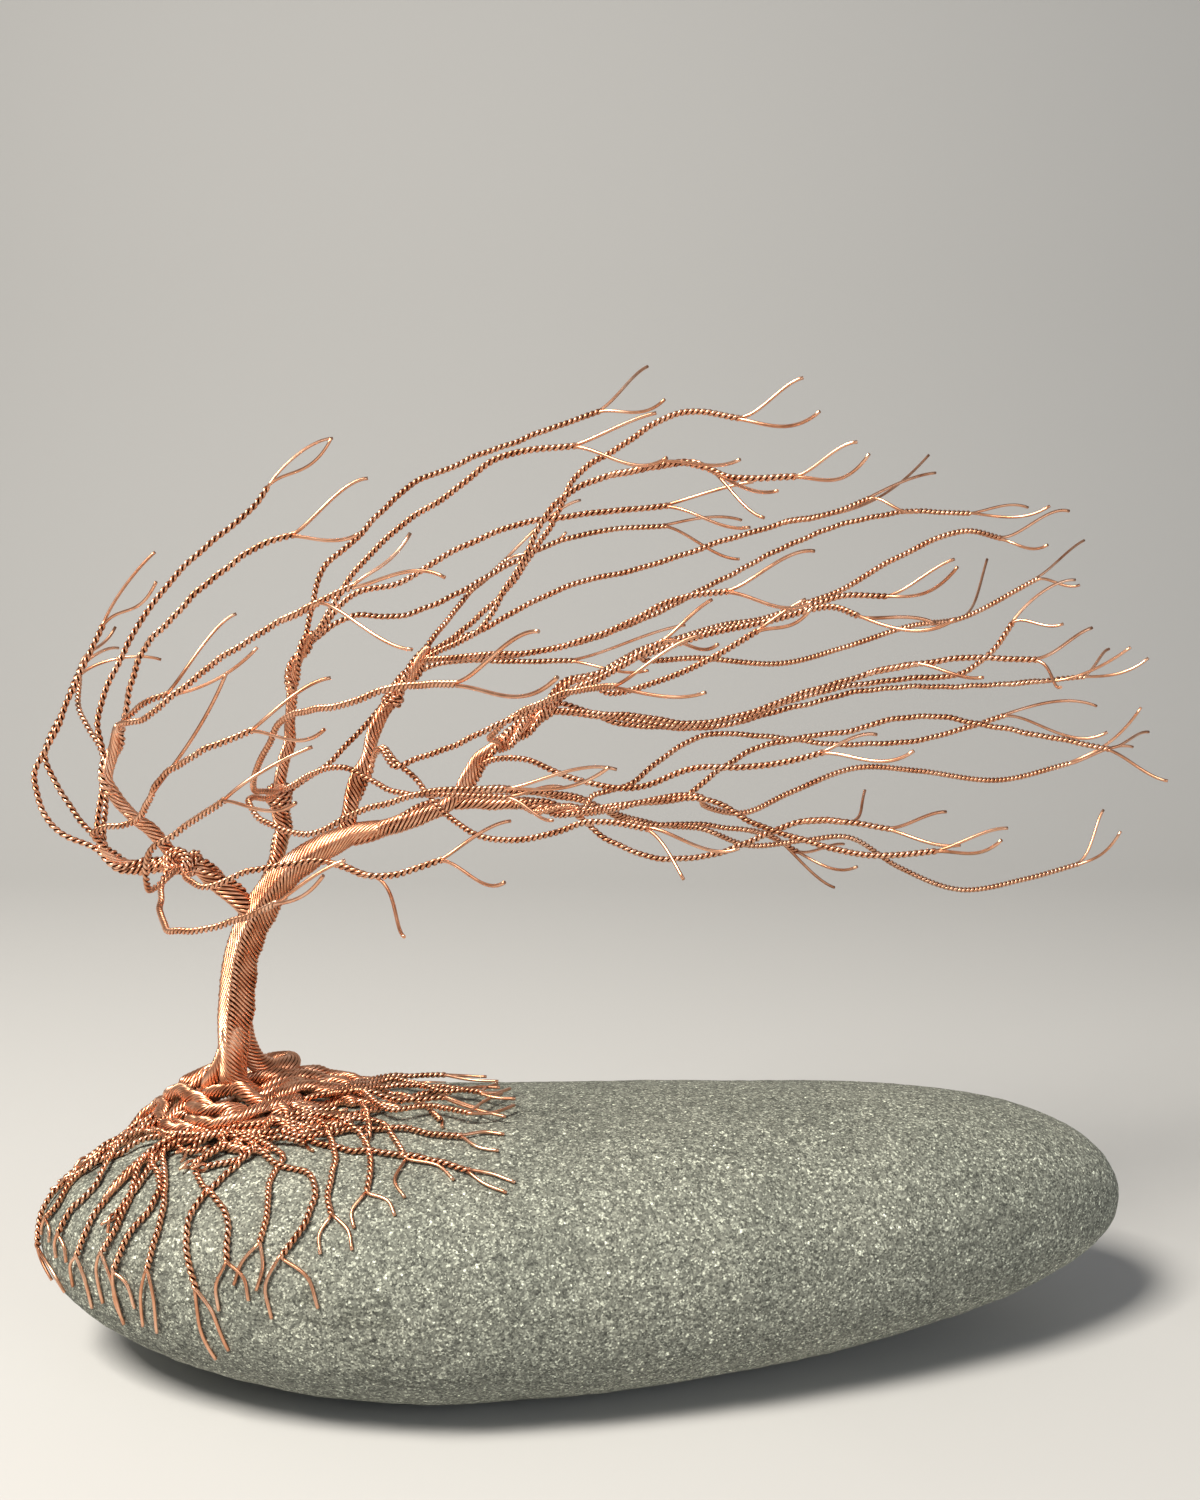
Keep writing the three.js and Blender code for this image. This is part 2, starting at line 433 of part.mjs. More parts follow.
// Cords coiled round the foot of the trunk and lying on the stone, packed close underneath.
function nest() {
  const around = (angle, reach, lift) => {
    const x = NEST_FOOT[0] + NEST_STRETCH[0] * reach * Math.cos(angle);
    const y = NEST_FOOT[1] + NEST_STRETCH[1] * reach * Math.sin(angle);
    return new THREE.Vector3(x, y, stoneTop(x, y) + lift);
  };
  const packed = [];
  for (const [reach, lift] of [[8.6, GAP], [9.2, 1.2], [8.2, 2.4]]) {
    const ring = [];
    for (let j = 0; j < 14; j += 1) {
      const angle = (2 * Math.PI * j) / 14;
      ring.push(around(angle, reach, lift));
    }
    packed.push(ring);
  }
  const parts = [skin(packed, around(0, 0, GAP), around(0, 0, 2.8))];
  for (let i = 0; i < NEST_COILS; i += 1) {
    const radius = 1.3 - 0.07 * i;
    const coil = [];
    for (let j = 0; j <= 8; j += 1) {
      const angle = (i * 2 * Math.PI) / NEST_COILS + (j / 8) * Math.PI;
      const reach = 7.6 + 1.6 * Math.sin(2 * angle + 1.3 * i);
      const lift = radius + 1.2 + 0.7 * Math.sin(2 * angle + 2.5 * i);
      coil.push(around(angle, reach, lift));
    }
    parts.push(rod(smooth(coil), () => radius, 5, 8));
  }
  const coiled = parts.map(solidOf).reduce((all, coil) => all.add(coil));
  return geometryOf(roomFor.map(solidOf).reduce((rest, room) => rest.subtract(room), coiled));
}

// The height of the stone's upper face under a point in plan.
function stoneTop(x, y) {
  const { y: middle, z, halfDepth, halfHeight } = stoneSection(x);
  const across = Math.min(1, Math.abs(y - middle) / halfDepth);
  return z + halfHeight * (1 - across ** STONE.squareness) ** (1 / STONE.squareness);
}

// ---------- the sculpture ----------

const sculpture = new THREE.Group();

function add(name, geometry, look) {
  const mesh = new THREE.Mesh(geometry, new THREE.MeshStandardMaterial(look));
  mesh.name = name;
  sculpture.add(mesh);
}

add('pebble', pebble(), GREY_STONE);
add('trunk', trunk(), COPPER);
for (const [name, plan] of Object.entries(BOUGHS)) add(name, bough(plan), COPPER);
for (const [name, plan] of Object.entries(TWIGS)) add(name, twig(plan), COPPER);
for (const [name, plan] of Object.entries(ROOTS)) add(name, rootGroup(plan), COPPER);
add('root_nest', nest(), COPPER);

export default sculpture;
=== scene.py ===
"""Wind-swept tree of twisted copper wire, rooted on a smooth grey pebble.

The routes are in millimetres, in the row frame, and each mesh is turned into metres as it is made.
A turn is an angle round the stone in degrees: 0 on top, 90 at the front, -90 at the back.
"""
import math

import bpy
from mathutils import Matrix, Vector
import numpy as np


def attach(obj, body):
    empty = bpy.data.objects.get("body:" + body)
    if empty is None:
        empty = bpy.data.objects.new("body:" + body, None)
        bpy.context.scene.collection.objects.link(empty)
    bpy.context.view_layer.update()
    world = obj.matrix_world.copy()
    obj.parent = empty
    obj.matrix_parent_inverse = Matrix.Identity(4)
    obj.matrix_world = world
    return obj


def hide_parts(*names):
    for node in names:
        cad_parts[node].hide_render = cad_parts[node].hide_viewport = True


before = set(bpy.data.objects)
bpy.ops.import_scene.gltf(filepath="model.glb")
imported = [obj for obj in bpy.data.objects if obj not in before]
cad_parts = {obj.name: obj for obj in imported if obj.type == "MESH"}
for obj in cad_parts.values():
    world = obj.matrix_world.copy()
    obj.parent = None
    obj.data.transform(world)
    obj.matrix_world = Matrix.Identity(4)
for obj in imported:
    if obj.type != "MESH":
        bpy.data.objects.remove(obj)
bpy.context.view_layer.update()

MM = 0.001
WIRE = 0.46                   # diameter of one copper wire
R = WIRE / 2
PITCH = 1.5                   # one full turn of a twisted pair
LEFT_PITCH = 1.85             # the same for the twigs on the left, which are twisted less
SPACING = 0.20                # between rings of a twisted wire
LONG_SPACING = 0.4            # between rings of a rope, whose wires turn more slowly
FREE_SPACING = 0.6            # between rings of a free wire end
SIDES = 6                     # flats round a wire
CORE_SIDES = 8                # flats round the core of a rope, coloured dark as painted shade
CORE_SHARE = 0.95             # of the reach of the wires round it
SHAPED_CORE_SHARE = 0.8       # the same where a rope isn't round
LAY = math.radians(38)        # angle of a rope's wires to its axis
LEFT_LAY = math.radians(29)   # on the left boughs
TRUNK_LAY = math.radians(44)
FOOT_LAY = math.radians(40)
CORD_LAY = math.radians(32)
PEEL = math.radians(17)       # lay of the twisted pairs on a bough
DRAWN_IN = 1.4                # length over which a rope is drawn in at its ends
END_SHARE = 0.12              # of its reach, left at the very end
PARTING = 2.6                 # length over which the wires of a thin root part at its end
TUCK = 7.0                    # length of a side wire inside its twig
ANY_ANGLE = 6.3               # random start angles lie between 0 and this
BOUGH_SEED, TWIG_SEED, ROOT_SEED, NEST_SEED = 100, 200, 300, 77

# ---------- the routes, as in the CAD model ----------

TRUNK = [(-49, 4, 34.4), (-49, 4, 47), (-48, 5, 56), (-45, 5, 63), (-40, 5, 69), (-33, 6, 73)]

BOUGHS = {
    "left_bough": ((1.55, 0.8), [(-46, 5, 62), (-51, 4, 67), (-55, 3, 70), (-58, 2, 70), (-63, 1, 70),
        (-66, 0, 73)]),
    "left_rising_bough": ((1.0, 0.8), [(-56, 3, 70), (-59, 1, 75), (-62, 0, 78), (-64, -1, 82),
        (-63, -1, 86), (-62, -2, 90)]),
    "upright_bough": ((1.25, 0.7), [(-45, 8, 65), (-43, 10, 72), (-43, 9, 79), (-41, 8, 87), (-40, 7, 96),
        (-37, 6, 102)]),
    "centre_bough": ((1.3, 0.85), [(-33, 6, 73), (-32, 7, 79), (-30, 7, 84), (-28, 8, 90), (-25, 8, 94),
        (-21, 8, 100)]),
    "right_bough": ((1.5, 0.85), [(-33, 6, 73), (-28, 6, 74), (-23, 5, 76), (-18, 5, 78), (-14, 5, 84),
        (-9, 4, 88), (-3, 4, 92)]),
    "low_bough": ((1.0, 0.75), [(-18, 5, 78), (-13, 5, 78), (-6, 3, 78), (1, 2, 77)]),
}

# Each twig: its route, its two tips (upper, lower), and side wires as (share of length, end point).
TWIGS = {
    "left_twig_1": ([(-66, 0, 73), (-73, 1, 76), (-75, 2, 82), (-72, 3, 89), (-69, 4, 96), (-66, 6, 103)],
        [(-59, 8, 113), (-56, -2, 109)]),
    "left_twig_2": ([(-66, 1, 73), (-71, 5, 77), (-75, 6, 84), (-74, 10, 90), (-72, 14, 97)],
        [(-68, 18, 99), (-69, 20, 102)]),
    "left_twig_3": ([(-67, 1, 74), (-67, 7, 84), (-72, 12, 90), (-74, 18, 95)], [(-63, 22, 97),
        (-74, 26, 100)]),
    "left_twig_4": ([(-66, 0, 75), (-65, 1, 84), (-66, 2, 90), (-62, 3, 100), (-57, 5, 108), (-51, 6, 114),
        (-45, 7, 119), (-43, 8, 122)], [(-35, 14, 129), (-33, 2, 128)]),
    "left_twig_5": ([(-66, -2, 75), (-58, -8, 78), (-53, -14, 84), (-47, -20, 88), (-38, -26, 92)],
        [(-29, -24, 98), (-28, -34, 93)], [(0.55, (-43, -18, 98))]),
    "left_twig_6": ([(-62, -2, 90), (-58, -4, 99), (-52, -7, 105), (-46, -9, 110), (-39, -12, 114),
        (-35, -14, 115)], [(-26, -12, 122), (-26, -20, 115)]),
    "left_twig_7": ([(-61, -3, 90), (-57, -8, 93), (-52, -12, 95)], [(-44, -8, 105), (-40, -14, 101)]),
    "left_twig_8": ([(-61, -4, 90), (-55, -11, 92), (-48, -15, 97), (-40, -20, 102), (-32, -25, 106),
        (-25, -30, 109)], [(-14, -36, 110), (-19, -26, 115)], [(0.9, (-18, -34, 102))]),
    "left_twig_9": ([(-55, -2, 70), (-56, -10, 69), (-54, -16, 75), (-47, -22, 80), (-41, -28, 84)],
        [(-31, -26, 90), (-31, -36, 85)]),
    "left_twig_10": ([(-57, -1, 68), (-54, -12, 66), (-50, -20, 66), (-41, -27, 69), (-34, -34, 73)],
        [(-26, -34, 78), (-27, -42, 78)]),
    "left_twig_11": ([(-54, -1, 69), (-49, -8, 69), (-42, -12, 72), (-32, -16, 74), (-24, -20, 73),
        (-16, -24, 76)], [(-8, -20, 80), (-8, -32, 75)], [(0.82, (-20, -30, 68))]),
    "upright_twig_1": ([(-42, 3, 80), (-43, -6, 82), (-40, -13, 87), (-35, -21, 93), (-28, -29, 95),
        (-19, -36, 98), (-12, -44, 99)], [(-3, -54, 105), (-1, -60, 101)]),
    "upright_twig_2": ([(-43, 4, 79), (-44, -5, 80), (-41, -9, 78), (-35, -13, 77), (-26, -17, 81),
        (-17, -22, 84), (-8, -26, 85)], [(5, -24, 87), (4, -36, 89)]),
    "upright_twig_3": ([(-42, 9, 79), (-36, 11, 83), (-31, 12, 88), (-26, 14, 94), (-20, 16, 97),
        (-11, 18, 97), (-1, 20, 97)], [(16, 26, 102), (10, 14, 96)]),
    "upright_twig_4": ([(-41, 5, 80), (-36, 1, 83), (-32, -1, 84), (-25, -3, 81), (-18, -6, 81),
        (-9, -8, 81)], [(-2, -6, 82), (-3, -14, 79)]),
    "upright_twig_5": ([(-37, 6, 102), (-36, 8, 110), (-31, 9, 115), (-24, 11, 122), (-18, 13, 125),
        (-5, 14, 130), (3, 16, 133)], [(10, 22, 140), (12, 10, 134)]),
    "upright_twig_6": ([(-36, 4, 102), (-31, 1, 109), (-25, -2, 115), (-17, -6, 120), (-9, -9, 125),
        (0, -12, 126)], [(10, -12, 130), (11, -20, 124)]),
    "upright_twig_7": ([(-37, 5, 102), (-31, 4, 107), (-24, 3, 109), (-15, 2, 114), (-6, 0, 117),
        (2, -1, 118), (12, -2, 119)], [(23, -4, 122), (22, -10, 116)]),
    "upright_twig_8": ([(-37, 8, 101), (-32, 10, 104), (-25, 13, 104), (-16, 16, 108), (-7, 20, 113),
        (2, 23, 116), (13, 26, 117)], [(25, 32, 118), (24, 24, 112)]),
    "centre_twig_1": ([(-28, 6, 85), (-27, 2, 86), (-25, -1, 84), (-22, -1, 85), (-15, -4, 88),
        (-5, -8, 93), (3, -12, 97), (11, -16, 102)], [(17, -14, 107), (17, -24, 102)]),
    "centre_twig_2": ([(-29, 7, 85), (-27, 4, 86), (-25, 2, 84), (-22, 0, 82), (-20, -2, 80), (-14, -7, 76),
        (-6, -11, 76), (2, -15, 79), (9, -20, 79)], [(13, -26, 74), (20, -22, 77)]),
    "centre_twig_3": ([(-21, 9, 100), (-17, 16, 106), (-11, 24, 112)], [(0, 30, 121), (-2, 22, 116)]),
    "centre_twig_4": ([(-21, 8, 100), (-15, 7, 103), (-9, 5, 109), (-4, 3, 116), (0, 1, 123), (6, -1, 127),
        (14, -3, 131), (21, -5, 130)], [(29, -6, 135), (30, -14, 130)]),
    "centre_twig_5": ([(-21, 7, 99), (-14, 3, 102), (-9, 0, 109), (-2, -3, 120), (6, -6, 123),
        (14, -9, 124), (20, -13, 122), (27, -16, 122)], [(34, -18, 126), (34, -26, 124)], [(0.74,
        (20, -17, 124)), (0.8, (23, -17, 117)), (0.84, (24, -22, 120))]),
    "centre_twig_6": ([(-21, 10, 99), (-14, 12, 102), (-2, 13, 108), (10, 15, 111), (19, 16, 114),
        (29, 18, 117), (38, 20, 119), (43, 22, 121)], [(54, 28, 125), (49, 16, 119)], [(0.9,
        (54, 33, 128))]),
    "centre_twig_7": ([(-21, 6, 98), (-14, 1, 99), (-4, -3, 100), (5, -6, 103), (13, -10, 107),
        (19, -14, 108)], [(30, -12, 113), (28, -24, 107)]),
    "centre_twig_8": ([(-21, 8, 98), (-15, 10, 98), (-5, 12, 99), (6, 15, 102), (15, 18, 106),
        (25, 22, 111), (36, 25, 116), (48, 27, 119), (60, 30, 119)], [(70, 34, 120), (71, 26, 120)]),
    "right_twig_1": ([(-3, 3, 92), (5, 1, 91), (18, 0, 90), (30, -2, 94), (39, -4, 97), (50, -5, 99),
        (60, -7, 99)], [(68, -4, 103), (61, -14, 96)], [(0.8, (52, -11, 97))]),
    "right_twig_2": ([(-3, 4, 92), (6, 4, 90), (19, 4, 89), (32, 7, 93), (43, 8, 95), (54, 9, 96),
        (59, 11, 99), (62, 12, 103)], [(72, 16, 109), (68, 8, 103)]),
    "right_twig_3": ([(-3, 6, 92), (6, 8, 89), (19, 12, 88), (33, 15, 91), (44, 18, 93), (52, 21, 93),
        (64, 25, 93), (78, 28, 94)], [(83, 32, 98), (87, 26, 97)], [(0.93, (82, 20, 99))]),
    "right_twig_4": ([(-3, 5, 93), (4, 6, 97), (8, 7, 99), (17, 8, 102), (27, 10, 104), (38, 12, 108),
        (45, 13, 112), (55, 14, 116), (61, 16, 115)], [(72, 20, 119), (66, 10, 114)]),
    "right_twig_5": ([(-3, 3, 94), (4, 3, 97), (8, 4, 99), (17, 3, 102), (27, 2, 104), (36, 2, 107),
        (42, 2, 107)], [(51, 2, 112), (49, -8, 111)]),
    "right_twig_6": ([(9, 1, 99), (17, -3, 102), (25, -7, 104), (32, -12, 106), (35, -16, 105)],
        [(45, -14, 104), (45, -24, 105)]),
    "right_twig_7": ([(9, 8, 98), (17, 11, 98), (29, 14, 97), (39, 19, 99), (50, 24, 102), (59, 29, 103),
        (72, 34, 109)], [(81, 40, 115), (78, 32, 108)], [(0.84, (66, 42, 112))]),
    "right_twig_8": ([(-12, -1, 88), (-6, -9, 93), (1, -17, 96), (5, -24, 97)], [(15, -24, 103),
        (15, -32, 97)]),
    "right_twig_9": ([(4, 0, 94), (11, -4, 96), (17, -8, 99), (23, -12, 103)], [(29, -12, 107),
        (29, -17, 106)]),
    "right_twig_10": ([(-13, 3, 84), (-7, -1, 85), (-1, -4, 83), (7, -7, 82), (15, -10, 85), (25, -13, 86),
        (31, -16, 88)], [(38, -14, 90), (41, -22, 89)]),
    "low_twig_1": ([(2, 3, 77), (7, 4, 78), (15, 5, 79), (20, 5, 83), (26, 6, 86), (38, 7, 88), (48, 8, 90),
        (61, 9, 88), (76, 10, 85)], [(83, 14, 87), (83, 6, 81)]),
    "low_twig_2": ([(2, 1, 77), (7, -2, 79), (17, -4, 80), (24, -6, 77), (31, -9, 75), (39, -12, 74),
        (46, -14, 75)], [(55, -14, 78), (52, -22, 78)]),
    "low_twig_3": ([(17, -2, 79), (23, 3, 77), (30, 8, 79), (40, 12, 82), (50, 16, 81), (63, 20, 79),
        (75, 24, 81)], [(86, 28, 83), (84, 20, 90)]),
    "low_twig_4": ([(1, 2, 76), (5, 1, 73), (13, 0, 71), (22, -1, 73), (28, -2, 76), (34, -3, 77),
        (42, -4, 76)], [(50, -2, 78), (50, -10, 75)], [(0.9, (40, 4, 80))]),
    "low_twig_5": ([(-16, 8, 79), (0, 10, 78), (7, 13, 74), (19, 15, 73), (28, 18, 71), (33, 20, 68)],
        [(41, 26, 68), (41, 14, 67)], [(0.95, (39, 22, 62))]),
    "low_twig_6": ([(18, 12, 73), (25, 15, 70), (34, 19, 70), (41, 21, 70), (49, 23, 65), (59, 25, 61),
        (70, 28, 62), (79, 30, 64)], [(84, 34, 72), (84, 26, 70)]),
    "low_twig_7": ([(2, 6, 79), (7, 8, 80), (12, 9, 84), (19, 11, 87), (31, 13, 86), (41, 15, 85),
        (52, 16, 86), (63, 18, 89)], [(78, 22, 90), (77, 14, 87)]),
}

# Roots hug the stone: every point is (x, turn round the stone in degrees, 0 on top, 90 at the front).
# Each group: its cord, then its roots as (share of the cord where it leaves, route, tips).
ROOTS = {
    "left_end_roots": ([(-60.5, -6), (-62, -3), (-65, 2)], [ (1.0, [(-70, 5), (-73.5, 40), (-74, 92)],
        [(-69, 112), (-72, 122)]), (0.9, [(-69, 14), (-71, 45), (-72.5, 55)], [(-73.5, 76), (-71.5, 78)]),
        (0.8, [(-65, 30), (-68, 50), (-69.5, 68)], [(-70, 87), (-68, 86)]), (0.7, [(-66, -40), (-70, -70)],
        [(-70, -90), (-66, -92)])]),
    "front_left_roots": ([(-54, 12), (-57, 16), (-59, 22)], [ (1.0, [(-63, 44), (-65, 67), (-66, 80)],
        [(-67, 98), (-64, 106)]), (0.9, [(-59, 38), (-60, 58), (-62, 74)], [(-62, 98), (-59, 106)]), (0.6,
        [(-55, 41), (-58, 62), (-60, 81)], [(-59, 104), (-57, 94)]), (0.3, [(-54, 42), (-54, 59),
        (-55, 78)], [(-56, 102), (-54, 103)])]),
    "front_roots": ([(-48, 18), (-44, 22), (-41, 22)], [ (0.5, [(-45, 28), (-48.5, 42), (-50, 59),
        (-48, 82)], [(-46, 109), (-44, 102)]), (0.0, [(-51, 28), (-48, 41), (-45, 50), (-44, 70)],
        [(-45, 88), (-41, 83)]), (1.0, [(-39, 26), (-40, 34), (-39.5, 50), (-40, 62)], [(-43, 78),
        (-40, 79)]), (0.8, [(-39, 30), (-35.5, 32), (-34, 38), (-34, 50), (-37, 66)], [(-38, 88),
        (-32, 83)])]),
    "front_right_roots": ([(-38, 14), (-35, 10), (-31, 8)], [ (0.5, [(-32, 27), (-32, 42), (-31, 50)],
        [(-32, 64), (-28, 62)]), (0.8, [(-28, 21), (-27, 34), (-27, 41)], [(-28, 54), (-23, 49)]), (0.9,
        [(-27, 9), (-25, 16), (-22.5, 27)], [(-22, 42), (-16, 35)]), (0.0, [(-35, 19), (-31, 22), (-25, 24),
        (-19, 27), (-14, 32)], [(-8, 37), (-9, 41)]), (0.2, [(-34, 14), (-30, 12), (-24, 12), (-19, 15),
        (-15.5, 16)], [(-10, 15), (-10.5, 23)])]),
    "right_roots": ([(-36, 0), (-34, -2), (-31, -1)], [ (1.0, [(-26, 6), (-21, 4), (-15, 8)], [(-11, -3),
        (-9, 3)]), (0.8, [(-28, -7), (-21, -6), (-14, -2)], [(-10, -6), (-12, -10)]), (0.4, [(-29, -17),
        (-20, -18)], [(-14, -20), (-12, -13)]), (0.6, [(-28, -13), (-24, -9), (-20, -3), (-16, -4)],
        [(-11.5, -7), (-9, 0)]), (1.0, [(-25, 1), (-19, 0)], [(-14, 4), (-10, 9)])]),
    "back_roots": ([(-50, -24), (-45, -28), (-40, -26)], [ (0.0, [(-54, -44), (-56, -66)], [(-58, -84),
        (-54, -86)]), (0.3, [(-47, -50), (-44, -72)], [(-46, -92), (-41, -88)]), (0.7, [(-38, -44),
        (-36, -60)], [(-37, -76), (-32, -72)]), (1.0, [(-32, -34), (-26, -44)], [(-21, -52), (-21, -42)])]),
}

# Cords of the nest: (outer radius, points as (x, y, height over the stone)).
NEST = [
    (1.1, [(-54, 11, 6), (-57, 10, 4.2), (-60, 9.5, 3.4), (-61, 8, 2.6), (-60, 3.5, 1.2), (-57.5, -1, 1.2),
        (-54.5, -3, 1.2), (-50, -5, 1.1)]),
    (1.15, [(-61, 9, 4.2), (-58.5, 8, 4.2), (-56, 5, 3.4), (-53, 2, 2.4), (-51.5, -0.5, 1.2)]),
    (1.1, [(-54, 4.5, 3.4), (-51, 3, 4.0), (-47.5, 1, 4.2), (-45.5, -0.5, 3.2), (-43.5, -1.5, 2.0),
        (-40, -2, 1.1)]),
    (1.1, [(-56, 4, 2.2), (-52, -1.5, 2.8), (-49, -2.5, 3), (-47, -2.5, 2.4), (-45.5, -3.5, 1.2)]),
    (0.95, [(-50, -5, 0.9), (-48.5, -3.5, 2.6), (-46, -3.5, 2.2), (-44, -1.5, 2.6), (-42.5, 2, 3),
        (-41, 7, 2.6), (-38.5, 11, 1.8), (-34, 12, 1.0)]),
    (1.05, [(-51, 6, 3), (-48.5, 6, 4), (-45.5, 6.5, 4.4), (-42, 9, 3.4), (-38.5, 13, 1.8), (-34, 15, 1)]),
    (0.95, [(-45.5, 2.5, 2.2), (-43, 4.5, 3), (-40, 8, 2.4), (-37, 11.5, 1.4), (-33, 13, 1.0)]),
    (0.75, [(-60, 5.5, 1), (-56, 0, 1), (-52.5, -3.5, 1), (-49, -5.5, 1), (-46, -6.5, 1), (-42, -6, 0.8)]),
    (0.75, [(-47, -5.5, 1.8), (-44, -5, 1.6), (-41, -4.5, 1.2), (-37.5, -4, 1), (-33, -2.5, 0.8)]),
    (0.75, [(-66.5, 8, 0.8), (-64.5, 10.5, 3.2), (-62, 10, 3.8), (-60.5, 7, 2.8), (-60, 4.5, 1.8)]),
    (0.95, [(-58, 13, 1), (-55, 16, 1), (-50, 18, 1.1), (-45, 18, 1.1), (-41, 16, 1.2), (-38, 12, 1.2)]),
    (1.05, [(-60, 10, 1.4), (-58, 14, 2), (-54, 15.5, 3), (-49, 15, 3.8), (-45, 14.5, 3.2),
        (-40, 16, 1.1)]),
    (0.95, [(-46, 5, 2.6), (-44, 9, 2.6), (-42, 4, 2.2), (-40, 0, 1.2), (-36, -1, 0.9)]),
    (0.85, [(-55, -1, 2), (-52, -4, 2.4), (-48.5, -5.5, 2.6), (-45.5, -4.5, 3), (-42.5, -1.5, 2.6),
        (-39.5, 2, 2)]),
    (1.0, [(-46, 5, 2.4), (-43, 6.5, 3.4), (-40, 9, 3.0), (-37, 10, 1.8), (-33, 8.5, 1.0)]),
    (0.95, [(-44, 3, 2), (-41, 4, 2.8), (-38, 4.5, 2.3), (-35, 3.5, 1.4), (-31.5, 1.5, 0.9)]),
    (0.95, [(-43, 13, 3.2), (-40, 12.5, 3.2), (-37, 13.5, 2.2), (-33, 12, 1.2), (-29, 10, 0.9)]),
    (0.85, [(-40, -3, 1.2), (-42.5, 0, 2.8), (-40, 3, 3.2), (-36.5, 5, 2.2), (-32, 6, 0.9)]),
    (0.95, [(-52, 13, 3.6), (-56, 13, 3.4), (-60, 11.5, 2.4), (-64, 9, 1.0)]),
    (0.9, [(-50, 10, 3.4), (-47, 12, 2.4), (-43, 10, 2.0), (-39, 6, 1.2)]),
    (0.9, [(-59, 2, 1), (-57, 5, 2.6), (-54, 8, 3.4), (-52, 12, 3), (-50, 16, 1.6)]),
]

# Thinner pairs that cross over the stone in front of the nest: (x, turn, height over the stone).
WEAVE = [
    [(-69, 6, 0.5), (-64, 10, 0.6), (-61, 6, 1.0), (-56, 9, 1.5), (-51, 13, 1.5), (-45, 16, 1.4),
        (-39, 18, 1.1),
     (-35, 21, 0.6)],
    [(-62, 60, 0.5), (-59, 42, 0.6), (-57, 25, 1.0), (-55, 17, 1.6), (-52, 16, 1.7), (-47, 14, 1.5),
        (-42, 12, 1)],
    [(-54, 22, 0.6), (-50, 14, 1.3), (-44, 10, 1.7), (-39, 5, 1.6), (-33, 0, 0.6)],
    [(-63, -8, 1.2), (-60, 0, 1.4), (-57, 8, 1.6), (-52, 14, 1.8), (-46, 12, 1.9), (-40, 9, 1)],
    [(-40, 15, 1.4), (-37, 17, 1.1), (-34, 15, 1.2), (-31, 8, 1.2), (-28, 0, 0.6)],
    [(-51, 30, 0.6), (-48, 28, 0.6), (-44, 25, 0.9), (-43, 17, 1.6), (-42, 6, 2.0)],
    [(-53, 29, 0.6), (-49, 23, 1.0), (-46, 19, 1.4), (-42, 16, 1.7), (-37, 11, 1.4), (-33, 3, 0.8)],
    [(-72, -10, 0.5), (-69, -12, 0.6), (-66, -14, 0.9), (-63, -10, 1.6), (-60, -8, 2)],
    [(-72, 14, 0.5), (-68, 14, 0.6), (-64, 2, 1.0), (-62, -8, 1.6), (-59, -14, 2)],
    [(-66, -12, 0.9), (-62, -2, 1.2), (-58, 6, 1.6), (-55, 16, 1.2), (-52, 21, 1.0), (-49, 19, 1.0)],
    [(-58, -26, 0.9), (-62, -18, 0.9), (-66, -4, 0.6), (-70, 4, 0.6), (-73, 22, 0.5)],
    [(-36, -22, 0.9), (-33, -12, 1.0), (-31, -2, 1.0), (-29, 8, 1.0), (-28, 20, 0.6)],
    [(-40, -20, 1.6), (-34, -14, 1.0), (-28, -8, 0.7), (-22, 0, 0.6), (-18, 10, 0.5)],
    [(-40, 2, 1.6), (-35, 6, 1.2), (-30, 4, 0.8), (-25, -4, 0.6), (-19, -10, 0.5)],
]

# The foot of the trunk parts into cords: (outer radius at its two ends, points).
FEET = [
    ((1.5, 1.0), [(-48.7, 4.2, 47), (-49.9, 4, 43.5), (-51.2, 4, 40.4), (-52.6, 4.4, 38.2),
        (-53.6, 5.6, 36.6), (-53.8, 7.4, 35.4)]),
    ((1.6, 1.0), [(-48.5, 5, 47), (-48, 5.6, 43), (-46.8, 6.6, 39.8), (-45, 8.4, 38.2), (-42.8, 10.6, 38),
        (-43.4, 13, 37.8), (-46, 13.4, 37.6), (-47.4, 11.4, 37.8), (-46, 10, 38), (-44.6, 11, 37.6)]),
    ((1.8, 1.2), [(-49, 3.6, 47), (-49.3, 3.1, 43), (-49.2, 2.8, 40), (-48.4, 2.9, 37.8), (-47, 3.8, 36.2),
        (-45.4, 5, 35.2)]),
    ((1.5, 1.0), [(-49, 4.8, 47), (-50, 6, 42.5), (-51, 8, 39.2), (-52.4, 10.6, 37.6), (-55.6, 11.6, 36.2),
        (-59, 9.6, 35.2)]),
]

# Where a twisted pair is wrapped tightly round a bough: (share of its length, turns, how proud).
KNOTS = {
    "left_bough": [(0.45, 2, 0.15)],
    "upright_bough": [(0.36, 4, 0.35)],
    "centre_bough": [(0.70, 3, 0.0)],
}

# Roots that run clear of the stone, over the others: how far, in mm.
LIFTED = {"right_roots": 1.2}

# Twigs that leave another twig. Their pair lies beside that one up to there.
FORKS = {"right_twig_6": "right_twig_5", "right_twig_9": "right_twig_5", "right_twig_7": "right_twig_4",
        "low_twig_3": "low_twig_2", "low_twig_6": "low_twig_5"}

NEST_X = -48.0             # middle of the root nest
TRUNK_FOOT = (-49.6, 3.2, 37.5)
TRUNK_END = (-27, 6, 74.4)
# (share of the trunk's length, outer radius) and (share, sharpness of its ridge).
TRUNK_GIRTH = [(0, 1.9), (0.06, 2.05), (0.2, 2.6), (0.42, 2.5), (0.6, 2.3), (0.78, 1.95), (0.9, 1.6),
        (1, 1.2)]
TRUNK_RIDGE = [(0, 0.3), (0.1, 0.7), (0.25, 1.1), (0.55, 1.0), (0.8, 0.5), (1, 0)]

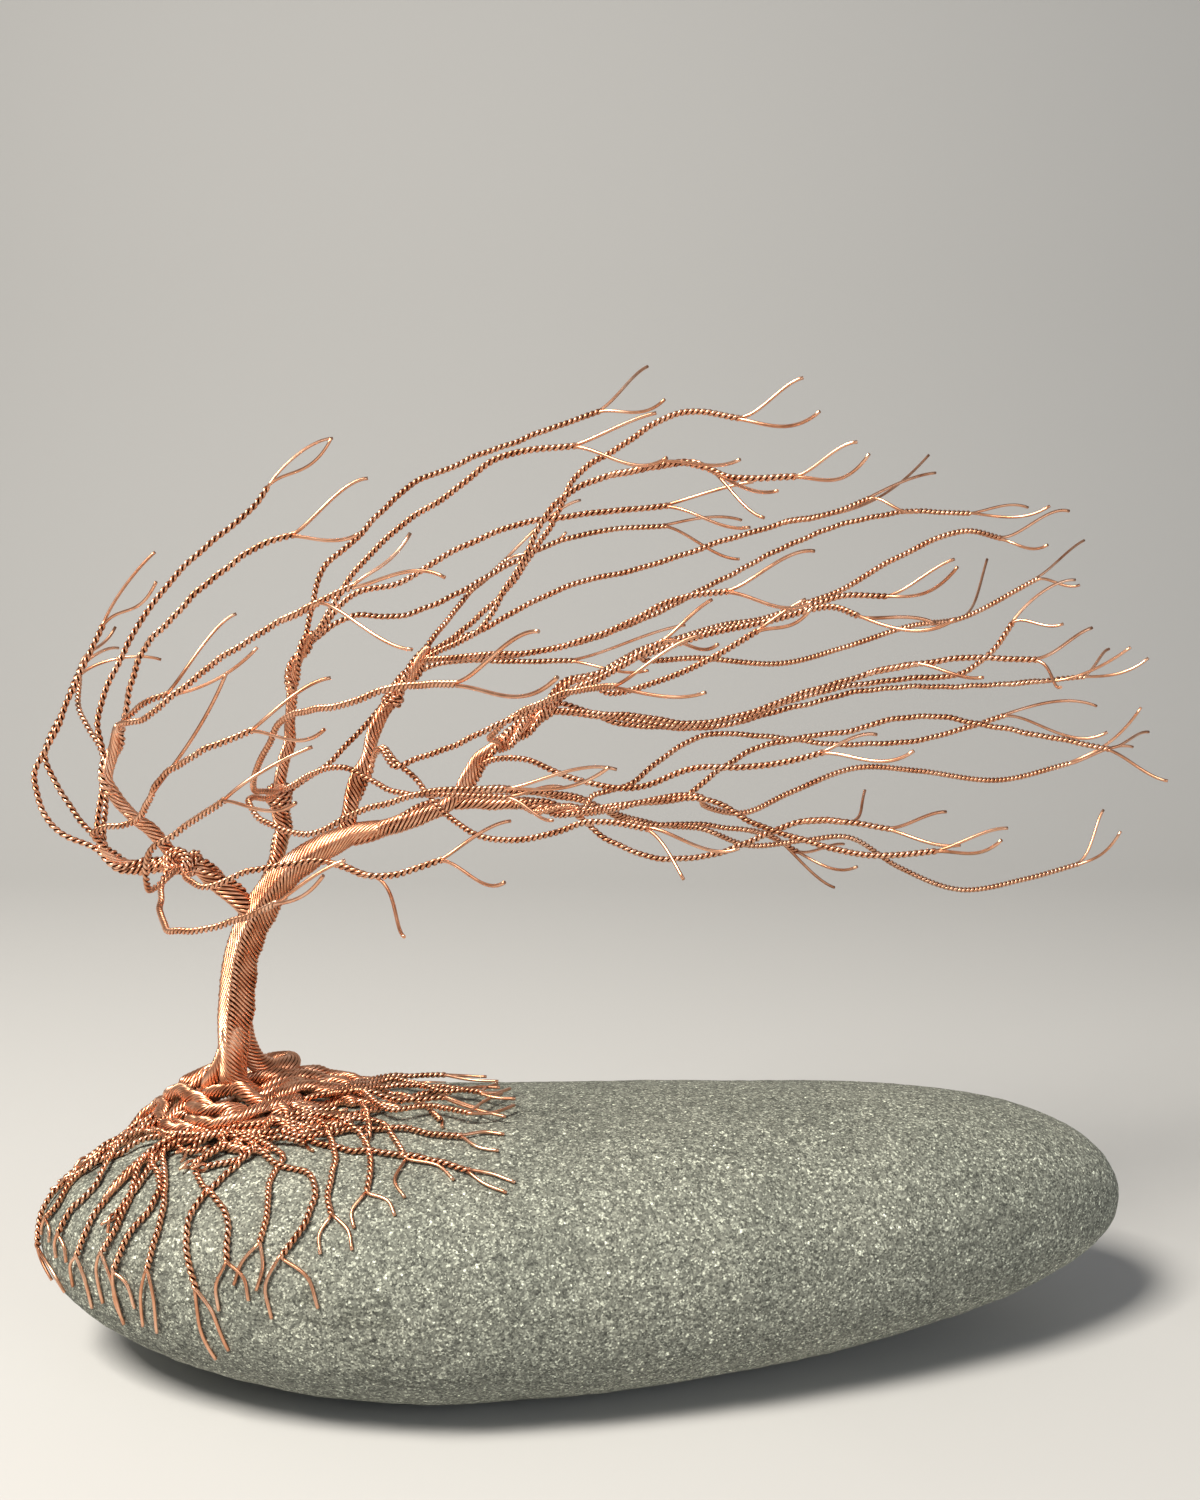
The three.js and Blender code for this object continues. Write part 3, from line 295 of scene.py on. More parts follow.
STONE_LEFT, STONE_RIGHT = -76.0, 80.0
BELLY = -18.0              # the stone is widest here
HALF_DEPTH = 28.5
TIP_HEIGHT = 20.0          # of the stone's two ends
THICKNESS = 36.4
WORN = 1.6                 # taken off the underside
SQUARENESS = 2.35          # exponent of its section: 2 would be an ellipse
# Fall from the belly to an end, as (1 - u ** power) ** root, of the depth, the top and the underside.
LEFT_FALL = ((1.9, 0.55), (2.6, 0.5), (2.0, 0.5))
RIGHT_FALL = ((1.7, 0.5), (6, 0.5), (2.1, 0.5))
STONE_RELIEF = [(0.16, 7.0), (0.07, 2.2), (0.05, 0.9)]    # unevenness: (height, size of its bumps)
PIT_TOP, PIT_FADE, PIT_DEPTH, PIT_SIZE = 24.0, 14.0, 0.35, 1.3    # the lower side is pitted

# ---------- the stone as a function ----------


def stone_section(x):
    """Middle (y, z), half depth, half height and the outward share along X of the stone at x."""
    x = np.asarray(x, float)
    left = x < BELLY
    u = np.where(left, (BELLY - x) / (BELLY - STONE_LEFT), (x - BELLY) / (STONE_RIGHT - BELLY))
    u = np.clip(u, 0, 1)
    depth, rise, sink = (np.where(left, (1 - u ** power) ** root, (1 - u ** power_2) ** root_2)
                         for (power, root), (power_2, root_2) in zip(LEFT_FALL, RIGHT_FALL))
    top = TIP_HEIGHT + (THICKNESS - TIP_HEIGHT) * rise
    bottom = TIP_HEIGHT * (1 - sink)
    y = 1 + np.where(left, -u ** 2, 9 * u ** 1.2)
    outward = np.where(left, -1, 1) * u ** 4
    return y, (top + bottom) / 2 - WORN, HALF_DEPTH * depth, (top - bottom) / 2, outward


def on_stone(x, turn, lift=0.0):
    """Points on the stone, or lifted off it. The underside is worn flat at z = 0."""
    y, z, half_depth, half_height, outward = stone_section(x)
    angle = np.radians(turn)
    forward, up = (np.sign(v) * np.abs(v) ** (2 / SQUARENESS) for v in (np.sin(angle), np.cos(angle)))
    py = y - (half_depth + lift) * forward
    pz = z + (half_height + lift) * up
    return np.stack([x + lift * outward, py, np.maximum(pz, 0)], -1)


def stone_top(x, y):
    """Height of the stone's upper face under points in plan."""
    middle, z, half_depth, half_height, _ = stone_section(x)
    across = np.clip(np.abs(y - middle) / half_depth, 0, 1)
    return z + half_height * (1 - across ** SQUARENESS) ** (1 / SQUARENESS)


# ---------- curves ----------


def between(first, second, t0, t1, t):
    """The point at t on a line that is at first at t0 and at second at t1."""
    return ((t1 - t) * first + (t - t0) * second) / (t1 - t0)


def spline(points, spacing=SPACING):
    """Centripetal Catmull-Rom through the points, resampled at even spacing."""
    p = np.asarray(points, float)
    if len(p) == 2:
        p = np.array([p[0], (p[0] + p[1]) / 2, p[1]])
    p = np.vstack([2 * p[0] - p[1], p, 2 * p[-1] - p[-2]])
    out = []
    for i in range(1, len(p) - 2):
        a, b, c, d = p[i - 1:i + 3]
        knots = np.cumsum([0] + [max(np.linalg.norm(v), 1e-6) ** 0.5 for v in (b - a, c - b, d - c)])
        steps = max(4, int(np.linalg.norm(c - b) / LONG_SPACING))
        t = np.linspace(knots[1], knots[2], steps, endpoint=False)[:, None]
        ab, bc, cd = (between(*ends, knots[k], knots[k + 1], t)
                      for k, ends in enumerate(((a, b), (b, c), (c, d))))
        abc = between(ab, bc, knots[0], knots[2], t)
        bcd = between(bc, cd, knots[1], knots[3], t)
        out.append(between(abc, bcd, knots[1], knots[2], t))
    out.append(p[-2][None])
    return resample(np.vstack(out), spacing)


def arc(curve):
    """Distance along the curve at each of its points."""
    return np.concatenate([[0], np.cumsum(np.linalg.norm(np.diff(curve, axis=0), axis=1))])


def resample(curve, spacing):
    s = arc(curve)
    n = max(3, int(round(s[-1] / spacing)) + 1)
    t = np.linspace(0, s[-1], n)
    return np.stack([np.interp(t, s, curve[:, k]) for k in range(3)], -1)


def unit(v):
    return v / np.maximum(np.linalg.norm(v, axis=-1, keepdims=True), 1e-12)


def frames(curve):
    """Tangents and two unit vectors across the curve, carried along it without twisting."""
    tangent = unit(np.gradient(curve, axis=0))
    start = np.cross(tangent[0], (0, 1, 0))
    if np.linalg.norm(start) < 0.1:
        start = np.cross(tangent[0], (1, 0, 0))
    across = np.empty_like(curve)
    across[0] = unit(start)
    for i in range(1, len(curve)):
        v = across[i - 1] - tangent[i] * np.dot(across[i - 1], tangent[i])
        across[i] = v / np.linalg.norm(v)
    return tangent, across, np.cross(tangent, across)


def wander(curve, rng, amount, length):
    """The small bends of hand-shaped wire, none at the two ends."""
    s = arc(curve)
    _, n, b = frames(curve)
    fade = np.clip(np.minimum(s, s[-1] - s) / length, 0, 1)[:, None]
    shift = np.zeros_like(curve)
    for octave in range(2):
        for axis in (n, b):
            wave = length * (1.0, 0.47)[octave] * rng.uniform(0.8, 1.25)
            bend = np.sin(2 * math.pi * s / wave + rng.uniform(0, ANY_ANGLE))
            shift += axis * bend[:, None] * (1, 0.45)[octave]
    return curve + shift * fade * amount


def around(curve, angle, radius):
    """A path beside the curve, at an angle round it. Left-handed lay: the angle falls along it."""
    _, n, b = frames(curve)
    return curve + n * (radius * np.cos(angle))[:, None] + b * (radius * np.sin(angle))[:, None]


# ---------- wires ----------


class Wires:
    """Collects round wires into one mesh. Each point keeps how far it faces out of its bundle, which sets
    its painted shade.
    """

    def __init__(self):
        self.points, self.faces, self.facing, self.count = [], [], [], 0

    def add(self, path, radius=R, sides=SIDES, axis=None, open_share=None):
        """A wire with square-cut ends. axis is the line that it winds round, if any."""
        tangent = unit(np.gradient(path, axis=0))
        if axis is None:
            _, n, b = frames(path)
        else:
            n = path - axis
            n = unit(n - tangent * np.sum(n * tangent, 1, keepdims=True))
            b = np.cross(tangent, n)
        rings = len(path)
        turn = 2 * math.pi * np.arange(sides) / sides
        radius = np.broadcast_to(radius, (rings,))
        ring = (path[:, None] + n[:, None] * np.cos(turn)[None, :, None] * radius[:, None, None]
                + b[:, None] * np.sin(turn)[None, :, None] * radius[:, None, None])
        i = np.arange(rings - 1)[:, None] * sides
        j, k = np.arange(sides)[None], (np.arange(sides)[None] + 1) % sides
        quads = np.stack([i + j, i + k, i + k + sides, i + j + sides], -1).reshape(-1, 4)
        self.points.append(ring.reshape(-1, 3))
        # how far each point faces out of its bundle; the copper paints shade where this is low. Wires with
        # no axis face fully out, and open_share lightens the painted shade where wires part
        facing = np.tile(0.5 + 0.5 * np.cos(turn), (rings, 1))
        if axis is None:
            facing[:] = 1
        if open_share is not None:
            facing = facing + (1 - facing) * open_share[:, None]
        self.facing.append(facing.reshape(-1))
        self.faces += (quads + self.count).tolist()
        self.faces.append([self.count + v for v in range(sides)][::-1])
        self.faces.append([self.count + (rings - 1) * sides + v for v in range(sides)])
        self.count += rings * sides

    def rope(self, curve, outer, lay=LAY, start=0.0, shape=None):
        """Wires laid side by side round a core, filling a bundle of that outer radius."""
        s = arc(curve)
        reach = np.broadcast_to(np.asarray(outer, float), s.shape) - R
        middle = reach.mean()
        drawn = np.clip(np.minimum(s, s[-1] - s) / DRAWN_IN, 0, 1)
        reach = reach * (END_SHARE + (1 - END_SHARE) * np.sqrt(1 - (1 - drawn) ** 2))
        pitch = 2 * math.pi * middle / math.tan(lay)
        wires = max(3, round(2 * math.pi * middle * math.cos(lay) / WIRE))
        turn = start - 2 * math.pi * s / pitch
        for k in range(wires):
            angle = turn + 2 * math.pi * k / wires
            radius = reach if shape is None else shape(s / s[-1], angle, reach)
            self.add(around(curve, angle, radius), axis=curve)
        self.core(curve, reach * (CORE_SHARE if shape is None else SHAPED_CORE_SHARE))

    def core(self, curve, radius):
        """Fills the middle of a rope. It faces nowhere, so the copper gives it its darkest painted shade."""
        self.add(curve[::2], radius=np.maximum(radius[::2], 0.05), sides=CORE_SIDES)
        self.facing[-1][:] = 0

    def mesh(self, name):
        points = np.vstack(self.points) * MM
        mesh = bpy.data.meshes.new(name)
        mesh.from_pydata(points.tolist(), [], self.faces)
        mesh.polygons.foreach_set("use_smooth", [len(f) == 4 for f in self.faces])
        facing = mesh.attributes.new("facing", "FLOAT", "POINT")
        facing.data.foreach_set("value", np.concatenate(self.facing).astype(np.float32))
        mesh.update()
        piece = bpy.data.objects.new(name, mesh)
        bpy.context.scene.collection.objects.link(piece)
        return piece


def leave(path, end, bow):
    """Runs a wire on from the end of its path, gently bowed, to a free end."""
    aim, early, late = 0.35, 0.28, 0.66      # how far it heads for its end at once, and its two handles
    start, end = path[-1], np.asarray(end, float)
    heading = unit(unit(start - path[-8]) + aim * unit(end - start))
    reach = np.linalg.norm(end - start)
    t = np.linspace(0, 1, max(6, int(reach / FREE_SPACING)))[1:, None]
    first = start + heading * reach * early
    second = start + (end - start) * late + np.array([0, 0, bow * reach * 1.5])
    run = ((1 - t) ** 3 * start + 3 * (1 - t) ** 2 * t * first
           + 3 * (1 - t) * t ** 2 * second + t ** 3 * end)
    return np.vstack([path, run])


def pair_phase(curve, pitch, towards):
    """Angles round the curve of a left-handed pair whose first wire ends on the side of towards."""
    s = arc(curve)
    _, n, b = frames(curve)
    last = math.atan2(np.dot(b[-1], towards), np.dot(n[-1], towards))
    rate = 2 * math.pi / (pitch * np.ones_like(s))
    run = np.concatenate([[0], np.cumsum((rate[1:] + rate[:-1]) / 2 * np.diff(s))])
    return last + run[-1] - run


def free_run(wires, path, curve, whole):
    """Adds a wire that winds along the curve and then runs free."""
    axis = np.vstack([curve, whole[len(path):] + (curve[-1] - path[-1])])
    # the free run gets no painted shade; it fades out over the last three wound rings
    free = np.concatenate([np.zeros(len(path)), np.ones(len(whole) - len(path))])
    free[len(path) - 3:len(path)] = (0.25, 0.5, 0.75)
    wires.add(whole, axis=axis, open_share=free)


def twig_wires(wires, curve, tips, sides, pitch, bows):
    """A twisted pair whose wires part at the end, with side wires tucked in just before they leave."""
    s = arc(curve)
    upper, lower = (np.array(t, float) for t in tips)
    third = np.zeros_like(s)
    for share, _ in sides:
        ahead = share * s[-1] - s
        third = np.maximum(third, np.clip(ahead / 1.5, 0, 1) * np.clip((TUCK - ahead) / 2, 0, 1))
    turn = pair_phase(curve, pitch * (1 + 0.4 * third), upper - lower)
    radius = R * (1 + 0.155 * third)
    for k, (end, bow) in enumerate(((upper, bows[0]), (lower, bows[1]))):
        angle = turn + math.pi * k + (2 * k - 1) * math.pi / 6 * third
        path = around(curve, angle, radius)
        free_run(wires, path, curve, leave(path, end, bow))
    for share, end in sides:
        upto = max(8, int(share * len(s)))
        begin = max(0, upto - int(TUCK / SPACING))
        part = curve[begin:upto]
        path = around(curve, turn + math.pi / 2, radius * np.clip(0.3 + third, 0, 1.1))[begin:upto]
        free_run(wires, path, part, leave(path, np.array(end, float), -0.08))


# ---------- materials ----------


def node(tree, kind, **inputs):
    made = tree.nodes.new(kind)
    for key, value in inputs.items():
        made.inputs[key.replace("_", " ")].default_value = value
    return made


def ramp(tree, source, stops):
    made = tree.nodes.new("ShaderNodeValToRGB")
    while len(made.color_ramp.elements) < len(stops):
        made.color_ramp.elements.new(0.5)
    for element, (place, colour) in zip(made.color_ramp.elements, stops):
        element.position = place
        element.color = (*colour, 1)
    tree.links.new(source, made.inputs["Fac"])
    return made.outputs["Color"]


def new_material(name):
    material = bpy.data.materials.new(name)
    material.use_nodes = True
    tree = material.node_tree
    shader = tree.nodes["Principled BSDF"]
    place = tree.nodes.new("ShaderNodeTexCoord").outputs["Object"]
    return material, tree, shader, place


def noise(tree, place, scale, detail=3.0, rough=0.55):
    made = node(tree, "ShaderNodeTexNoise", Scale=scale, Detail=detail, Roughness=rough)
    tree.links.new(place, made.inputs["Vector"])
    return made.outputs["Fac"]


def mix(tree, factor, a, b, kind="MIX"):
    made = tree.nodes.new("ShaderNodeMix")
    made.data_type = "RGBA"
    made.blend_type = kind
    for socket, value in ((made.inputs["Factor"], factor), (made.inputs[6], a), (made.inputs[7], b)):
        if hasattr(value, "is_linked"):
            tree.links.new(value, socket)
        else:
            socket.default_value = value
    return made.outputs[2]


def copper_material():
    """Bright where a wire faces out of its bundle, dark between the wires: the dark is painted shade."""
    material, tree, shader, place = new_material("copper")
    tone = ramp(tree, noise(tree, place, 220, 3), [
        (0.30, (0.55, 0.225, 0.115)), (0.50, (0.83, 0.42, 0.25)), (0.72, (0.95, 0.58, 0.40))])
    facing = tree.nodes.new("ShaderNodeAttribute")
    facing.attribute_name = "facing"
    # painted shade: the colour goes nearly black where a point faces into its bundle, between the wires and
    # on rope cores
    painted_shade = ramp(tree, facing.outputs["Fac"], [
        (0.22, (0.04, 0.018, 0.010)), (0.50, (0.42, 0.34, 0.28)), (0.80, (1, 1, 1))])
    tone = mix(tree, 1.0, tone, painted_shade, "MULTIPLY")
    tree.links.new(tone, shader.inputs["Base Color"])
    shader.inputs["Metallic"].default_value = 1.0
    rough = tree.nodes.new("ShaderNodeMapRange")
    tree.links.new(noise(tree, place, 900, 2), rough.inputs["Value"])
    rough.inputs["To Min"].default_value = 0.26
    rough.inputs["To Max"].default_value = 0.42
    tree.links.new(rough.outputs["Result"], shader.inputs["Roughness"])
    bump = node(tree, "ShaderNodeBump", Strength=0.12, Distance=0.00005)
    tree.links.new(noise(tree, place, 2600, 2), bump.inputs["Height"])
    tree.links.new(bump.outputs["Normal"], shader.inputs["Normal"])
    return material


def stone_material():
    """Fine grains of several greys, with a few dark wavy bedding lines."""
    material, tree, shader, place = new_material("grey_stone")
    base = ramp(tree, noise(tree, place, 45, 4), [
        (0.30, (0.175, 0.184, 0.160)), (0.52, (0.210, 0.218, 0.190)), (0.75, (0.250, 0.256, 0.222))])
    for scale, stops in (
            (4600, [(0.0, 0.30), (0.25, 0.72), (0.70, 1.05), (0.90, 1.7), (1.0, 3.0)]),
            (2300, [(0.0, 0.55), (0.30, 0.90), (0.75, 1.02), (0.95, 1.45), (1.0, 2.3)])):
        grains = tree.nodes.new("ShaderNodeTexVoronoi")
        grains.inputs["Scale"].default_value = scale
        grains.inputs["Randomness"].default_value = 1.0
        shift = tree.nodes.new("ShaderNodeVectorMath")
        shift.operation = "MULTIPLY_ADD"
        warp = node(tree, "ShaderNodeTexNoise", Scale=scale * 0.8, Detail=2.0)
        tree.links.new(place, warp.inputs["Vector"])
        tree.links.new(warp.outputs["Color"], shift.inputs[0])
        shift.inputs[1].default_value = (0.9 / scale,) * 3
        tree.links.new(place, shift.inputs[2])
        tree.links.new(shift.outputs["Vector"], grains.inputs["Vector"])
        channel = tree.nodes.new("ShaderNodeSeparateColor")
        tree.links.new(grains.outputs["Color"], channel.inputs["Color"])
        tone = ramp(tree, channel.outputs[0], [(at, (v, v, v * 0.97)) for at, v in stops])
        base = mix(tree, 1.0, base, tone, "MULTIPLY")
    stretch = tree.nodes.new("ShaderNodeMapping")
    stretch.inputs["Scale"].default_value = (0.22, 1.5, 1.5)
    tree.links.new(place, stretch.inputs["Vector"])
    lines = ramp(tree, noise(tree, stretch.outputs["Vector"], 55, 3, 0.5), [
        (0.480, (1, 1, 1)), (0.490, (0.50, 0.50, 0.48)), (0.500, (1, 1, 1))])
    height = tree.nodes.new("ShaderNodeSeparateXYZ")
    tree.links.new(place, height.inputs[0])
    bedded = node(tree, "ShaderNodeMapRange")
    tree.links.new(height.outputs["X"], bedded.inputs["Value"])
    for name, value in (("From Min", 0.02), ("From Max", -0.03), ("To Min", 0.0), ("To Max", 0.9)):
        bedded.inputs[name].default_value = value
    base = mix(tree, bedded.outputs["Result"], base, lines, "MULTIPLY")
    tree.links.new(base, shader.inputs["Base Color"])
    shader.inputs["Roughness"].default_value = 0.85
    pitted = node(tree, "ShaderNodeMapRange")
    tree.links.new(height.outputs["Z"], pitted.inputs["Value"])
    for name, value in (("From Min", 0.030), ("From Max", 0.010), ("To Min", 0.0), ("To Max", 0.8)):
        pitted.inputs[name].default_value = value
    pits = node(tree, "ShaderNodeBump", Distance=0.0007)
    tree.links.new(pitted.outputs["Result"], pits.inputs["Strength"])
    tree.links.new(noise(tree, place, 520, 3, 0.6), pits.inputs["Height"])
    bump = node(tree, "ShaderNodeBump", Strength=0.7, Distance=0.0002)
    tree.links.new(noise(tree, place, 2400, 4, 0.7), bump.inputs["Height"])
    tree.links.new(pits.outputs["Normal"], bump.inputs["Normal"])
    tree.links.new(bump.outputs["Normal"], shader.inputs["Normal"])
    return material


# ---------- the pieces ----------


def place_piece(piece, material, slot, *nodes):
    piece.data.materials.append(material)
    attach(piece, "root")
    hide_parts(*nodes)


def value_noise(points, scale, seed):
    """Smooth noise from -1 to 1 at points, with features of about that size."""
    rng = np.random.default_rng(seed)
    size = 64
    grid = rng.uniform(-1, 1, (size, size, size))
    q = points / scale + 100.0
    base = np.floor(q).astype(int)
    f = q - base
    f = f * f * (3 - 2 * f)
    total = np.zeros(len(points))
    for step in np.ndindex(2, 2, 2):
        weight = np.where(step, f, 1 - f)
        x, y, z = ((base + step) % size).T
        total += weight[:, 0] * weight[:, 1] * weight[:, 2] * grid[x, y, z]
    return total


def pebble(material):
    """The stone's function as rings along X, closed at both ends, with some relief."""
    rings, sides = 340, 216
    share = (1 - np.cos(math.pi * np.arange(1, rings) / rings)) / 2
    x = STONE_LEFT + (STONE_RIGHT - STONE_LEFT) * share
    turn = 360.0 * np.arange(sides) / sides
    points = on_stone(np.repeat(x, sides), np.tile(turn, rings - 1))
    ends = np.array([STONE_LEFT + 0.01, STONE_RIGHT - 0.01])
    points = np.vstack([points, np.stack([ends, *stone_section(ends)[:2]], -1)])
    middle = np.stack([points[:, 0] * 0.8, *stone_section(points[:, 0])[:2]], -1)
    out = unit(points - middle)
    relief = sum(high * value_noise(points, size, seed) for seed, (high, size) in enumerate(STONE_RELIEF, 1))
    pits = value_noise(points * (0.6, 1, 1.6), PIT_SIZE, len(STONE_RELIEF) + 1)
    low = np.clip((PIT_TOP - points[:, 2]) / PIT_FADE, 0, 1)
    relief -= low * PIT_DEPTH * np.clip(pits - 0.35, 0, 1)
    points = points + out * relief[:, None]
    points[:, 2] = np.maximum(points[:, 2], 0)
    at = np.arange((rings - 1) * sides).reshape(rings - 1, sides)
    nxt = np.roll(at, -1, axis=1)
    quads = np.stack([at[:-1], nxt[:-1], nxt[1:], at[1:]], -1).reshape(-1, 4)[:, ::-1].tolist()
    left_end, right_end = len(points) - 2, len(points) - 1
    fans = [[b, a, left_end] for a, b in zip(at[0].tolist(), nxt[0].tolist())]
    fans += [[a, b, right_end] for a, b in zip(at[-1].tolist(), nxt[-1].tolist())]
    mesh = bpy.data.meshes.new("stone_visual")
    mesh.from_pydata((points * MM).tolist(), [], quads + fans)
    mesh.polygons.foreach_set("use_smooth", [True] * len(mesh.polygons))
    mesh.validate()
    piece = bpy.data.objects.new("stone_visual", mesh)
    bpy.context.scene.collection.objects.link(piece)
    place_piece(piece, material, "stone", "pebble")


def trunk(material):
    """A bundle with a ridge down its front, drawn in above the foot, where it parts into cords."""
    wires = Wires()
    curve = spline([TRUNK_FOOT] + TRUNK[1:] + [TRUNK_END], LONG_SPACING)
    u = arc(curve) / arc(curve)[-1]
    wires.rope(curve, np.interp(u, *zip(*TRUNK_GIRTH)), TRUNK_LAY, shape=ridged)
    for (first, last), route in FEET:
        foot = spline(route, LONG_SPACING)
        along = arc(foot) / arc(foot)[-1]
        wires.rope(foot, np.interp(along, [0, 0.35, 1], [first, first * 0.95, last]), FOOT_LAY)
    place_piece(wires.mesh("trunk_bundle"), material, "copper_wire", "trunk")


def ridged(u, angle, reach):
    """A rounded square with its sharpest corner, the ridge, towards the front, and a lumpy side."""
    flat, mean = 0.707, 0.87         # middle of a side and mean reach, as shares of the corner's reach
    front = math.pi / 2 - 0.20 + 0.25 * u
    side = (1 + np.cos(angle - front)) / 2
    off = np.mod(angle - front, math.pi / 2) - math.pi / 4
    corner = (flat / np.cos(off) / mean - 1) * (0.3 + 0.7 * side)
    lumps = (0.05 * np.sin(62 * u) + 0.04 * np.sin(25 * u + 1)) * (1 + np.cos(angle - front - 1.6)) / 2
    return reach * (1 + np.interp(u, *zip(*TRUNK_RIDGE)) * corner + lumps)


BOUGH_LINES = []        # (curve, outer radius along it) of each bough made so far
TWIG_LINES = {}         # curve of each twig made so far


def bough_girth(radii, curve):
    u = arc(curve) / arc(curve)[-1]
    return np.interp(u, [0, 0.8, 1], [radii[0], radii[1], radii[1] * 0.75])


def twist(wires, curve, pitch, start=0.0):
    """A twisted pair along the whole curve."""
    s = arc(curve)
    for k in range(2):
        angle = start - 2 * math.pi * s / pitch + math.pi * k
        wires.add(around(curve, angle, np.full(s.shape, R)), axis=curve)


def wrap(wires, line, girth, share, turns, proud, rng):
    """A pair wound tightly round a bough, its ends tucked in."""
    s = arc(line)
    width = turns * WIRE * 1.7
    fine = np.linspace(share * s[-1] - width / 2, share * s[-1] + width / 2, int(turns * 36))
    fine = np.clip(fine, 0, s[-1])
    _, n, b = frames(line)
    middle, n, b = (np.stack([np.interp(fine, s, v[:, k]) for k in range(3)], -1) for v in (line, n, b))
    angle = rng.uniform(0, ANY_ANGLE) - np.linspace(0, 2 * math.pi * turns, len(fine))
    tucked = np.interp(np.linspace(0, 1, len(fine)), [0, 0.12, 0.88, 1], [0, 1, 1, 0])
    reach = np.interp(fine, s, girth) - 0.3 + (R * 2 + proud + 0.12 * np.sin(3 * angle)) * tucked
    path = middle + n * (reach * np.cos(angle))[:, None] + b * (reach * np.sin(angle))[:, None]
    twist(wires, resample(path, SPACING), PITCH * 1.1, rng.uniform(0, ANY_ANGLE))


def coil(wires):
    """The flat coil on the front of the left bough. Its wire comes out of the bough and goes back in."""
    turns, x, y, z = 2.6, -55.2, 0.5, 70.6
    turn = np.linspace(0, turns * 2 * math.pi, 60)
    reach = np.linspace(0.5, 1.9, 60)
    path = np.stack([x + reach * np.cos(turn), y - 0.5 * np.sin(turn / 5.2), z + reach * np.sin(turn)], -1)
    route = np.vstack([(-54.6, 2.6, 70), path, (-53.2, 2.2, 71.6), (-53, 3.6, 69.6)])
    twist(wires, spline(route), PITCH)


def oval(u, angle, reach):
    """A slightly flattened bundle whose flat side turns along its length."""
    return reach * (1 + 0.09 * np.cos(2 * angle + 22 * u))


def bough(name, radii, route, material, seed):
    rng = np.random.default_rng(seed)
    wires = Wires()
    curve = wander(spline(route, LONG_SPACING), rng, 0.10, 8.0)
    girth = bough_girth(radii, curve)
    lay = LEFT_LAY if name.startswith("left") else LAY
    wires.rope(curve, girth, lay, rng.uniform(0, ANY_ANGLE), shape=oval)
    BOUGH_LINES.append((curve, girth))
    for share, turns, proud in KNOTS.get(name, ()):
        wrap(wires, curve, girth, share, turns, proud, rng)
    if name == "left_bough":
        coil(wires)
    place_piece(wires.mesh(name + "_wires"), material, "copper_wire", name)


def peeled(route):
    """The route, run back along the nearest bough's surface, so that it peels off its strands."""
    lead, step = 26, 4               # how many rings of the bough it runs back, and every which one
    first, second = np.array(route[0], float), np.array(route[1], float)
    near = [(np.linalg.norm(line - first, axis=1).min(), k) for k, (line, _) in enumerate(BOUGH_LINES)]
    line, girth = BOUGH_LINES[min(near)[1]]
    at = max(6, int(np.linalg.norm(line - first, axis=1).argmin()))
    s = arc(line)
    _, n, b = frames(line)
    aim = first - line[at]
    if np.linalg.norm(aim) < 2.2:    # too near the bough's middle to say which side it leaves on
        aim = second - line[at]
    angle = math.atan2(np.dot(b[at], aim), np.dot(n[at], aim))
    back = np.arange(max(0, at - lead), at + 1, step)
    pitch = 2 * math.pi * girth[at] / math.tan(PEEL)
    turn = angle - 2 * math.pi * (s[back] - s[at]) / pitch
    reach = (girth[back] + 0.1) * np.interp(s[back] - s[back[0]], [0, 3], [0.5, 1])
    on_bough = (line[back] + n[back] * (reach * np.cos(turn))[:, None]
                + b[back] * (reach * np.sin(turn))[:, None])
    clear = girth[at] + 1.2
    rest = [p for p in np.array(route, float) if np.linalg.norm(p - line[at]) > clear]
    return np.vstack([on_bough, rest])


def twig(name, plan, material, seed):
    route, tips, *rest = plan
    rng = np.random.default_rng(seed)
    wires = Wires()
    pitch = (LEFT_PITCH if name.startswith("left") else PITCH) * rng.uniform(0.92, 1.12)
    if name in FORKS:
        line = TWIG_LINES[FORKS[name]]
        at = int(np.linalg.norm(line - np.array(route[0], float), axis=1).argmin())
        angle = rng.uniform(0, ANY_ANGLE) - arc(line[:at]) / 3.2
        beside = around(line[:at], angle, np.full(at, 2.15 * R))
        curve = spline(np.vstack([beside[::14], route]))
    else:
        curve = wander(spline(peeled(route)), rng, 0.09, 11.0)
    bows = (rng.uniform(0.03, 0.13), rng.uniform(-0.19, -0.08))
    twig_wires(wires, curve, tips, rest[0] if rest else [], pitch, bows)
    TWIG_LINES[name] = curve
    place_piece(wires.mesh(name + "_wires"), material, "copper_wire", name)


def along_stone(stops, lift, spacing=SPACING):
    """A curve over the stone through (x, turn). lift is one amount, or one for each stop."""
    flat, steep = 3, 4               # a turn counts for less than a mm on the curve, and a rise for more
    plan = spline([(x, turn / flat, steep * rise) for (x, turn), rise in
                   zip(stops, np.broadcast_to(lift, (len(stops),)))], 0.5)
    return resample(on_stone(plan[:, 0], plan[:, 1] * flat, plan[:, 2] / steep), spacing)


def towards_nest(point, share):
    """(x, turn) moved by that share of the way to the middle of the nest, on top of the stone."""
    x, turn = point[:2]
    return x * (1 - share) + NEST_X * share, turn * (1 - share)


